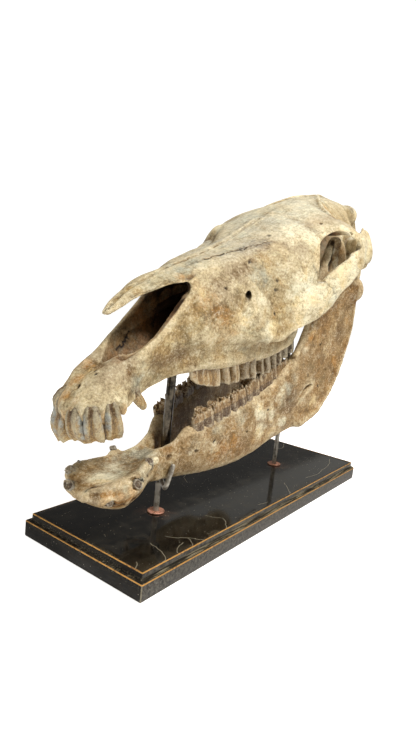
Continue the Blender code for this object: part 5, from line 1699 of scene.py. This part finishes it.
def make_stain():
    """A colour soaked into another where a layer says, with a ragged edge."""
    def wire(board, given):
        ragged = board.noise(given["Vector"], given["Scale"], 5, 0.75, 0.3)
        edge = board.maths("ADD", given["Amount"], board.times(ragged, 1.3))
        soaked = board.times(board.span(edge, 0.79, 1.39), given["Strength"])
        return {"Color": board.blend(soaked, given["Color"], given["Stain"])}
    make_group("ragged stain", {"Vector": "Vector", "Scale": 120.0, "Color": "Color", "Stain": "Color",
                                "Amount": 0.0, "Strength": 1.0}, {"Color": "Color"}, wire)


def make_grain():
    """Long fine fibres or streaks along one direction."""
    def wire(board, given):
        place = board.put("Mapping", {"Vector": given["Vector"], "Rotation": given["Turn"],
                                      "Scale": given["Stretch"]}).outputs[0]
        return {"Mask": board.span(board.noise(place, given["Scale"], 4, 0.6, 0.6), 0.35, 0.65)}
    make_group("grain", {"Vector": "Vector", "Scale": 300.0, "Stretch": (1, 0.1, 1), "Turn": (0, 0, 0)},
               {"Mask": "Float"}, wire)


def make_dust():
    """Specks of dust and lint, sparse, of uneven size."""
    def wire(board, given):
        place, scale = given["Vector"], given["Scale"]
        cells = board.put("TexVoronoi", {"Vector": place, "Scale": scale})
        pick = board.put("SeparateColor", {0: cells.outputs["Color"]})
        size = board.span(pick.outputs[0], 0.72, 1, 0, 0.2)
        speck = board.maths("LESS_THAN", cells.outputs["Distance"], size)
        film = board.noise(place, board.times(scale, 0.12), 5, 0.65, 0.8)
        return {"Speck": board.times(speck, given["Amount"]), "Film": board.span(film, 0.42, 0.75)}
    make_group("dust", {"Vector": "Vector", "Scale": 200.0, "Amount": 1.0},
               {"Speck": "Float", "Film": "Float"}, wire)


def new_material(name):
    """Material with its board, which knows the shader and the place on the object."""
    material = bpy.data.materials.new(name)
    material.use_nodes = True
    board = Board(material.node_tree)
    board.shader = material.node_tree.nodes["Principled BSDF"]
    board.place = board.put("TexCoord").outputs["Object"]
    return material, board


BONE_TONES = {
    "cranium": {"light": (206, 194, 158), "middle": (170, 152, 114), "dark": (124, 104, 68)},
    "mandible": {"light": (190, 166, 122), "middle": (152, 124, 82), "dark": (106, 80, 46)}}


def bone_material(name, tones, grain_turn):
    """Old dug-up bone: mottled tan, paler where it stands out, stained brown, rust and grey-green; painted
    light on upward faces, dirt and painted shade in hollows, painted shade deep inside.
    """
    material, board = new_material(name)
    base = board.mottle(tones, 44)
    colour = base["Color"]
    fibres = board.group("grain", Scale=330, Stretch=(1, 0.14, 1),
                         Turn=(math.radians(grain_turn), 0, 0))["Mask"]
    for layer, tone, scale, strength in (
            ("brown", (108, 80, 42), 190, 0.88), ("slate", (166, 168, 152), 150, 0.75),
            ("rust", (188, 136, 62), 170, 0.7), ("pale", (240, 234, 206), 150, 0.8)):
        colour = board.soak(colour, tone, board.layer(layer), scale, strength)
    warm = board.span(board.noise(board.place, 27, 4, 0.65, 0.8), 0.44, 0.62, 0, 0.55)
    colour = board.tint(colour, (255, 226, 164), warm, mode="MULTIPLY")
    drawn_out = board.stretched(board.place, (1, 0.5, 1))
    cool = board.span(board.noise(drawn_out, 38, 4, 0.65, 0.8), 0.5, 0.66, 0, 0.6)
    colour = board.tint(colour, (222, 230, 234), cool, mode="MULTIPLY")
    # Painted light: a cool pale tone over the upward faces, as if lit from above.
    painted_top_light = board.times(board.layer("painted_top_light"), board.span(base["Mask"], 0.3, 0.7, 0.55, 0.25))
    colour = board.tint(colour, (222, 226, 216), painted_top_light)
    # Dirt and painted shade: darker brown in the hollows and creases.
    colour = board.tint(colour, (84, 60, 36), board.layer("hollow"), 0.6)
    colour = board.soak(colour, (240, 226, 190), board.layer("edge"), 210, 0.35)
    colour = board.tint(colour, (184, 170, 140), board.span(fibres, 0, 1, 1, 0), 0.34, "MULTIPLY")
    flecks = board.group("speckle", Scale=430, Color=colour, Dark=shade(150, 134, 102),
                         Light=shade(240, 232, 204), Amount=0.6)
    # Painted shade deep in the nasal cavity, the orbits and the nostril's rim: dark brown inside tones, near
    # black where deepest.
    deep = board.layer("deep")
    shaded_inside = board.two_tone(base["Mask"], 0.4, 0.6, (40, 26, 16), (140, 92, 50))
    colour = board.blend(board.times(deep, 0.92), flecks["Color"], shaded_inside)
    colour = board.tint(colour, (20, 13, 8), board.span(deep, 0.72, 1, 0, 0.8))
    holes = board.group("pores", Scale=620, Amount=0.75)["Mask"]
    colour = board.tint(colour, (96, 72, 46), holes, 0.6)
    colour = board.tint(colour, (26, 16, 9), board.layer("crack"))
    height = board.total((flecks["Mask"], 0.8), (fibres, 0.25), (base["Fine"], 0.3), (holes, -0.7))
    board.finish(Base_Color=colour, Roughness=board.span(base["Mask"], 0.3, 0.7, 0.72, 0.5),
                 Normal=board.bump(height, 0.7, 0.0011), Specular_IOR_Level=0.35)
    return material


def tooth_material(name, tones):
    """Worn tooth: ochre cement over grey enamel, darker towards the back, with painted shade in the grooves
    and a painted shadow at the neck where it leaves the bone.
    """
    material, board = new_material(name)
    base = board.mottle(tones, 120)
    streaks = board.group("grain", Scale=620, Stretch=(1, 1, 0.1))["Mask"]
    colour = board.tint(base["Color"], tones["streak"], streaks, 0.5)
    colour = board.tint(colour, (62, 46, 28), board.layer("back"), tones["back"])
    # Painted shadow at the tooth's neck, where it leaves the bone.
    colour = board.tint(colour, (70, 46, 24), board.span(board.layer("tip"), 0, tones["neck"], 0.75, 0))
    colour = board.soak(colour, tones["enamel"], board.layer("edge"), 260, 0.5)
    colour = board.soak(colour, tones["slate"], board.layer("slate"), 300, 0.9)
    colour = board.group("speckle", Scale=700, Color=colour, Dark=shade(140, 110, 76),
                         Light=shade(222, 206, 168), Amount=0.6)["Color"]
    # Painted shade in the grooves and creases.
    colour = board.tint(colour, (44, 28, 15), board.layer("hollow"), tones["groove"])
    height = board.total((base["Fine"], 0.5), (streaks, 0.5))
    board.finish(Base_Color=colour, Roughness=board.span(base["Mask"], 0.35, 0.65, 0.55, 0.3),
                 Normal=board.bump(height, 0.6, 0.0007))
    return material


def lacquer_material():
    """Black lacquer of the plinth's top: glossy, with dust, dull smears, hair cracks and worn edges."""
    material, board = new_material("black lacquer")
    wood = board.group("grain", Scale=120, Stretch=(1, 0.05, 1.6))["Mask"]
    specks = board.group("dust", Scale=420, Amount=0.55)
    film, edge = specks["Film"], board.layer("edge")
    colour = board.blend(wood, shade(12, 11, 9), shade(23, 21, 17))
    colour = board.tint(colour, (92, 86, 74), film, 0.16)
    colour = board.tint(colour, (128, 92, 74), board.layer("blush"), board.times(film, 0.6))
    colour = board.soak(colour, (150, 138, 112), edge, 420, 0.6)
    colour = board.tint(colour, (160, 152, 130), board.layer("hair"), 0.8)
    colour = board.tint(colour, (176, 168, 148), specks["Speck"])
    rough = board.maths("ADD", board.total((film, 0.1), (edge, 0.25)), 0.08)
    height = board.total((wood, 0.5), (specks["Speck"], 0.5))
    board.finish(Base_Color=colour, Roughness=rough, Normal=board.bump(height, 0.06, 0.0004), Coat_Weight=0.3,
                 Coat_Roughness=0.04)
    return material


def side_lacquer_material():
    """Black lacquer of the plinth's sides: dulled, painted grey as lit on the right face, with a painted
    sheen on the step, specks and wood grain.
    """
    material, board = new_material("dull black lacquer")
    wood = board.group("grain", Scale=420, Stretch=(0.12, 0.12, 1))["Mask"]
    specks = board.group("dust", Scale=560, Amount=0.8)
    rubbed = board.noise(board.place, 300, 5, 0.75)
    colour = board.two_tone(rubbed, 0.35, 0.65, (9, 8, 7), (21, 19, 15))
    colour = board.tint(colour, (62, 54, 42), wood, 0.15)
    # Painted light: a grey for the sides turned to the right, as if lit from the right.
    dull = board.two_tone(rubbed, 0.38, 0.62, (48, 46, 43), (98, 94, 87))
    colour = board.blend(board.times(board.layer("lit_right_face"), 0.85), colour, dull)
    # Painted sheen: pale streaks along the step below the top.
    streak = board.noise(board.stretched(board.place, (1, 0.05, 1.6)), 620, 5, 0.65)
    step_sheen = board.two_tone(streak, 0.48, 0.64, (36, 33, 26), (140, 130, 106))
    colour = board.blend(board.layer("step"), colour, step_sheen)
    colour = board.soak(colour, (150, 142, 122), board.layer("edge"), 520, 0.7)
    colour = board.tint(colour, (170, 164, 148), specks["Speck"])
    height = board.total((wood, 0.5), (rubbed, 0.5))
    board.finish(Base_Color=colour, Roughness=board.span(rubbed, 0.3, 0.7, 0.38, 0.6),
                 Normal=board.bump(height, 0.3, 0.0005), Specular_IOR_Level=0.14)
    return material


def gold_material():
    """Thin gold line, rubbed through in places."""
    material, board = new_material("gold line")
    worn = board.noise(board.place, 180, 4, 0.7)
    board.finish(Base_Color=board.two_tone(worn, 0.5, 0.68, (214, 160, 84), (120, 78, 40)),
                 Metallic=board.span(worn, 0.5, 0.68, 0.6, 0.1),
                 Roughness=board.span(worn, 0.3, 0.7, 0.32, 0.6), Normal=board.bump(worn, 0.2, 0.0003))
    return material


def steel_material(name, light, dark, metal, rough_low, rough_high):
    """Drawn steel with fine streaks and a few dull marks."""
    material, board = new_material(name)
    streaks = board.group("grain", Scale=900, Stretch=(1, 1, 0.03))["Mask"]
    marks = board.noise(board.place, 150, 5, 0.65)
    colour = board.two_tone(marks, 0.4, 0.65, light, dark)
    colour = board.tint(colour, dark, streaks, 0.25)
    colour = board.tint(colour, (150, 140, 124), board.group("dust", Scale=500, Amount=0.5)["Speck"])
    rough = board.span(marks, 0.3, 0.7, rough_low, rough_high)
    board.finish(Base_Color=colour, Metallic=metal, Roughness=rough, Normal=board.bump(streaks, 0.15, 0.0002))
    return material


def copper_material():
    """Copper, pinkish and spotted with dark."""
    material, board = new_material("copper")
    spots = board.noise(board.place, 420, 4, 0.65)
    board.finish(Base_Color=board.two_tone(spots, 0.44, 0.7, (222, 164, 138), (120, 76, 58)), Metallic=0.5,
                 Roughness=board.span(spots, 0.3, 0.7, 0.3, 0.55), Normal=board.bump(spots, 0.25, 0.0003))
    return material


# neck: how far from the gum the painted shadow at a tooth's neck reaches; groove: strength of the painted
# shade in the grooves
UPPER_TONES = {
    "light": (204, 176, 122), "middle": (164, 130, 76), "dark": (98, 72, 36), "streak": (112, 80, 38),
    "enamel": (200, 190, 164), "slate": (150, 150, 142), "back": 0.95, "neck": 0.55, "groove": 0.8}
LOWER_TONES = {
    "light": (190, 162, 110), "middle": (148, 114, 66), "dark": (90, 62, 28), "streak": (98, 68, 32),
    "enamel": (206, 192, 164), "slate": (150, 150, 142), "back": 0.4, "neck": 0.12, "groove": 0.6}
INCISOR_TONES = {
    "light": (206, 180, 118), "middle": (166, 134, 78), "dark": (98, 70, 34), "streak": (108, 76, 38),
    "enamel": (184, 178, 152), "slate": (164, 168, 162), "back": 0, "neck": 0.3, "groove": 1}
STUMP_TONES = {
    "light": (208, 196, 168), "middle": (170, 156, 130), "dark": (108, 90, 66), "streak": (116, 98, 74),
    "enamel": (190, 186, 170), "slate": (120, 122, 118), "back": 0, "neck": 0.01, "groove": 0.9}


# ---- room
CAMERA_PLACE = (0.3451356, -0.5452, 0.2654869)
CAMERA_RIGHT = (0.7976937, 0.5933985, 0.1075311)
CAMERA_UP = (-0.1784866, 0.0619876, 0.9819878)
CAMERA_BACK = (0.5760445, -0.8025184, 0.1553608)
CAMERA_LENS = 26.12


def make_camera():
    """Camera at the photograph's place and angle."""
    data = bpy.data.cameras.new("camera")
    data.sensor_fit = "VERTICAL"
    data.sensor_height = 36
    data.lens = CAMERA_LENS
    data.clip_start = 0.01
    camera = placed(bpy.data.objects.new("camera", data))
    columns = (CAMERA_RIGHT, CAMERA_UP, CAMERA_BACK, CAMERA_PLACE)
    camera.matrix_world = Matrix([[column[row] for column in columns] for row in range(3)] + [[0, 0, 0, 1]])
    bpy.context.scene.camera = camera


def add_light(name, place, target, size, power, colour=(1, 1, 1)):
    """Square soft light at a place, facing a target."""
    data = bpy.data.lights.new(name, "AREA")
    data.size = size
    data.energy = power
    data.color = colour
    light = placed(bpy.data.objects.new(name, data))
    light.location = place
    light.rotation_euler = (Vector(target) - Vector(place)).to_track_quat("-Z", "Y").to_euler()
    return light


def make_room():
    """Pale floor, white surroundings for the eye, softer ones for reflections, and studio lights."""
    clay = bmesh.new()
    bmesh.ops.create_grid(clay, x_segments=24, y_segments=24, size=6)
    floor = placed(bpy.data.objects.new("floor", to_mesh(clay)))
    material, board = new_material("floor")
    colour = board.two_tone(board.noise(board.place, 3, 2), 0.3, 0.7, (252, 252, 252), (255, 255, 255))
    seen = board.times(board.put("LightPath").outputs["Is Camera Ray"], 0.5)
    board.finish(Base_Color=colour, Roughness=0.9, Specular_IOR_Level=0.1, Emission_Color=(1, 1, 1, 1),
                 Emission_Strength=board.maths("ADD", seen, 0.25))
    floor.data.materials.append(material)

    world = bpy.data.worlds.new("studio")
    world.use_nodes = True
    bpy.context.scene.world = world
    board = Board(world.node_tree)
    rays = board.put("LightPath").outputs
    eye, gloss = rays["Is Camera Ray"], rays["Is Glossy Ray"]
    board.fill(world.node_tree.nodes["Background"],
               {"Strength": board.maths("ADD", board.total((eye, 0.85), (gloss, -0.2)), 0.3),
                "Color": board.blend(eye, (1, 0.97, 0.92, 1), (1, 1, 1, 1))})
    add_light("key", (0.85, -0.1, 1.4), (0, 0, 0.2), 0.26, 26, (1, 0.975, 0.93))
    add_light("fill", (-0.7, -1.2, 0.9), (0, 0, 0.2), 1.2, 6, (1, 0.97, 0.92))
    window = add_light("window", (-0.48, 1.35, 0.78), (-0.48, 0, 0.78), 1.3, 0.5, (1, 0.98, 0.9))
    window.data.shape = "RECTANGLE"
    window.data.size_y = 0.6
    window.matrix_world = Matrix(((-0.82, 0.57, 0, -0.48), (0, 0, 1, 1.35), (0.57, 0.82, 0, 0.78),
                                  (0, 0, 0, 1)))
    window.visible_camera = False
    bpy.context.scene.view_settings.view_transform = "Standard"


# ---- all of it
def main():
    """The skull on its stand, in its room."""
    make_camera()
    for make_effect in (make_mottle, make_speckle, make_pores, make_stain, make_grain, make_dust):
        make_effect()
    make_cranium(bone_material("cranium bone", BONE_TONES["cranium"], -CRANIUM_TILT))
    make_mandible(bone_material("mandible bone", BONE_TONES["mandible"], -MANDIBLE_TILT))
    upper, lower = (CRANIUM_PLACE, CRANIUM_TILT), (MANDIBLE_PLACE, MANDIBLE_TILT)
    upper_finish = tooth_material("upper cheek teeth", UPPER_TONES)
    lower_finish = tooth_material("lower cheek teeth", LOWER_TONES)
    incisor_finish = tooth_material("incisors", INCISOR_TONES)
    stump_finish = tooth_material("stumps", STUMP_TONES)
    for side, sign in (("left", 1), ("right", -1)):
        make_teeth("upper_cheek_teeth_" + side, upper_cheek_row, (sign,), *upper, upper_finish, "cranium",
                   UPPER_BITE, 31)
        make_teeth("lower_cheek_teeth_" + side, lambda clay: lower_cheek_row(clay, 0 if sign > 0 else 9),
                   (sign,), *lower, lower_finish, "mandible", LOWER_BITE, 32, 0.25)
    make_teeth("upper_incisors", upper_incisor_row, (1, -1), *upper, incisor_finish, "cranium", INCISOR_BITE,
               33)
    make_teeth("upper_canines", upper_canine, (1, -1), *upper, incisor_finish, "cranium", CANINE_BITE, 34)
    make_teeth("lower_front_stumps", lower_front_stumps, (1,), *lower, stump_finish, "mandible", STUMP_BITE,
               35, 0.3)
    make_plinth(lacquer_material(), side_lacquer_material(), gold_material())
    steel = steel_material("rod steel", (176, 170, 158), (112, 106, 96), 0.45, 0.28, 0.42)
    dark_steel = steel_material("dark steel", (92, 84, 72), (26, 23, 20), 0.85, 0.1, 0.22)
    make_stand(steel, dark_steel, copper_material())
    make_room()


main()
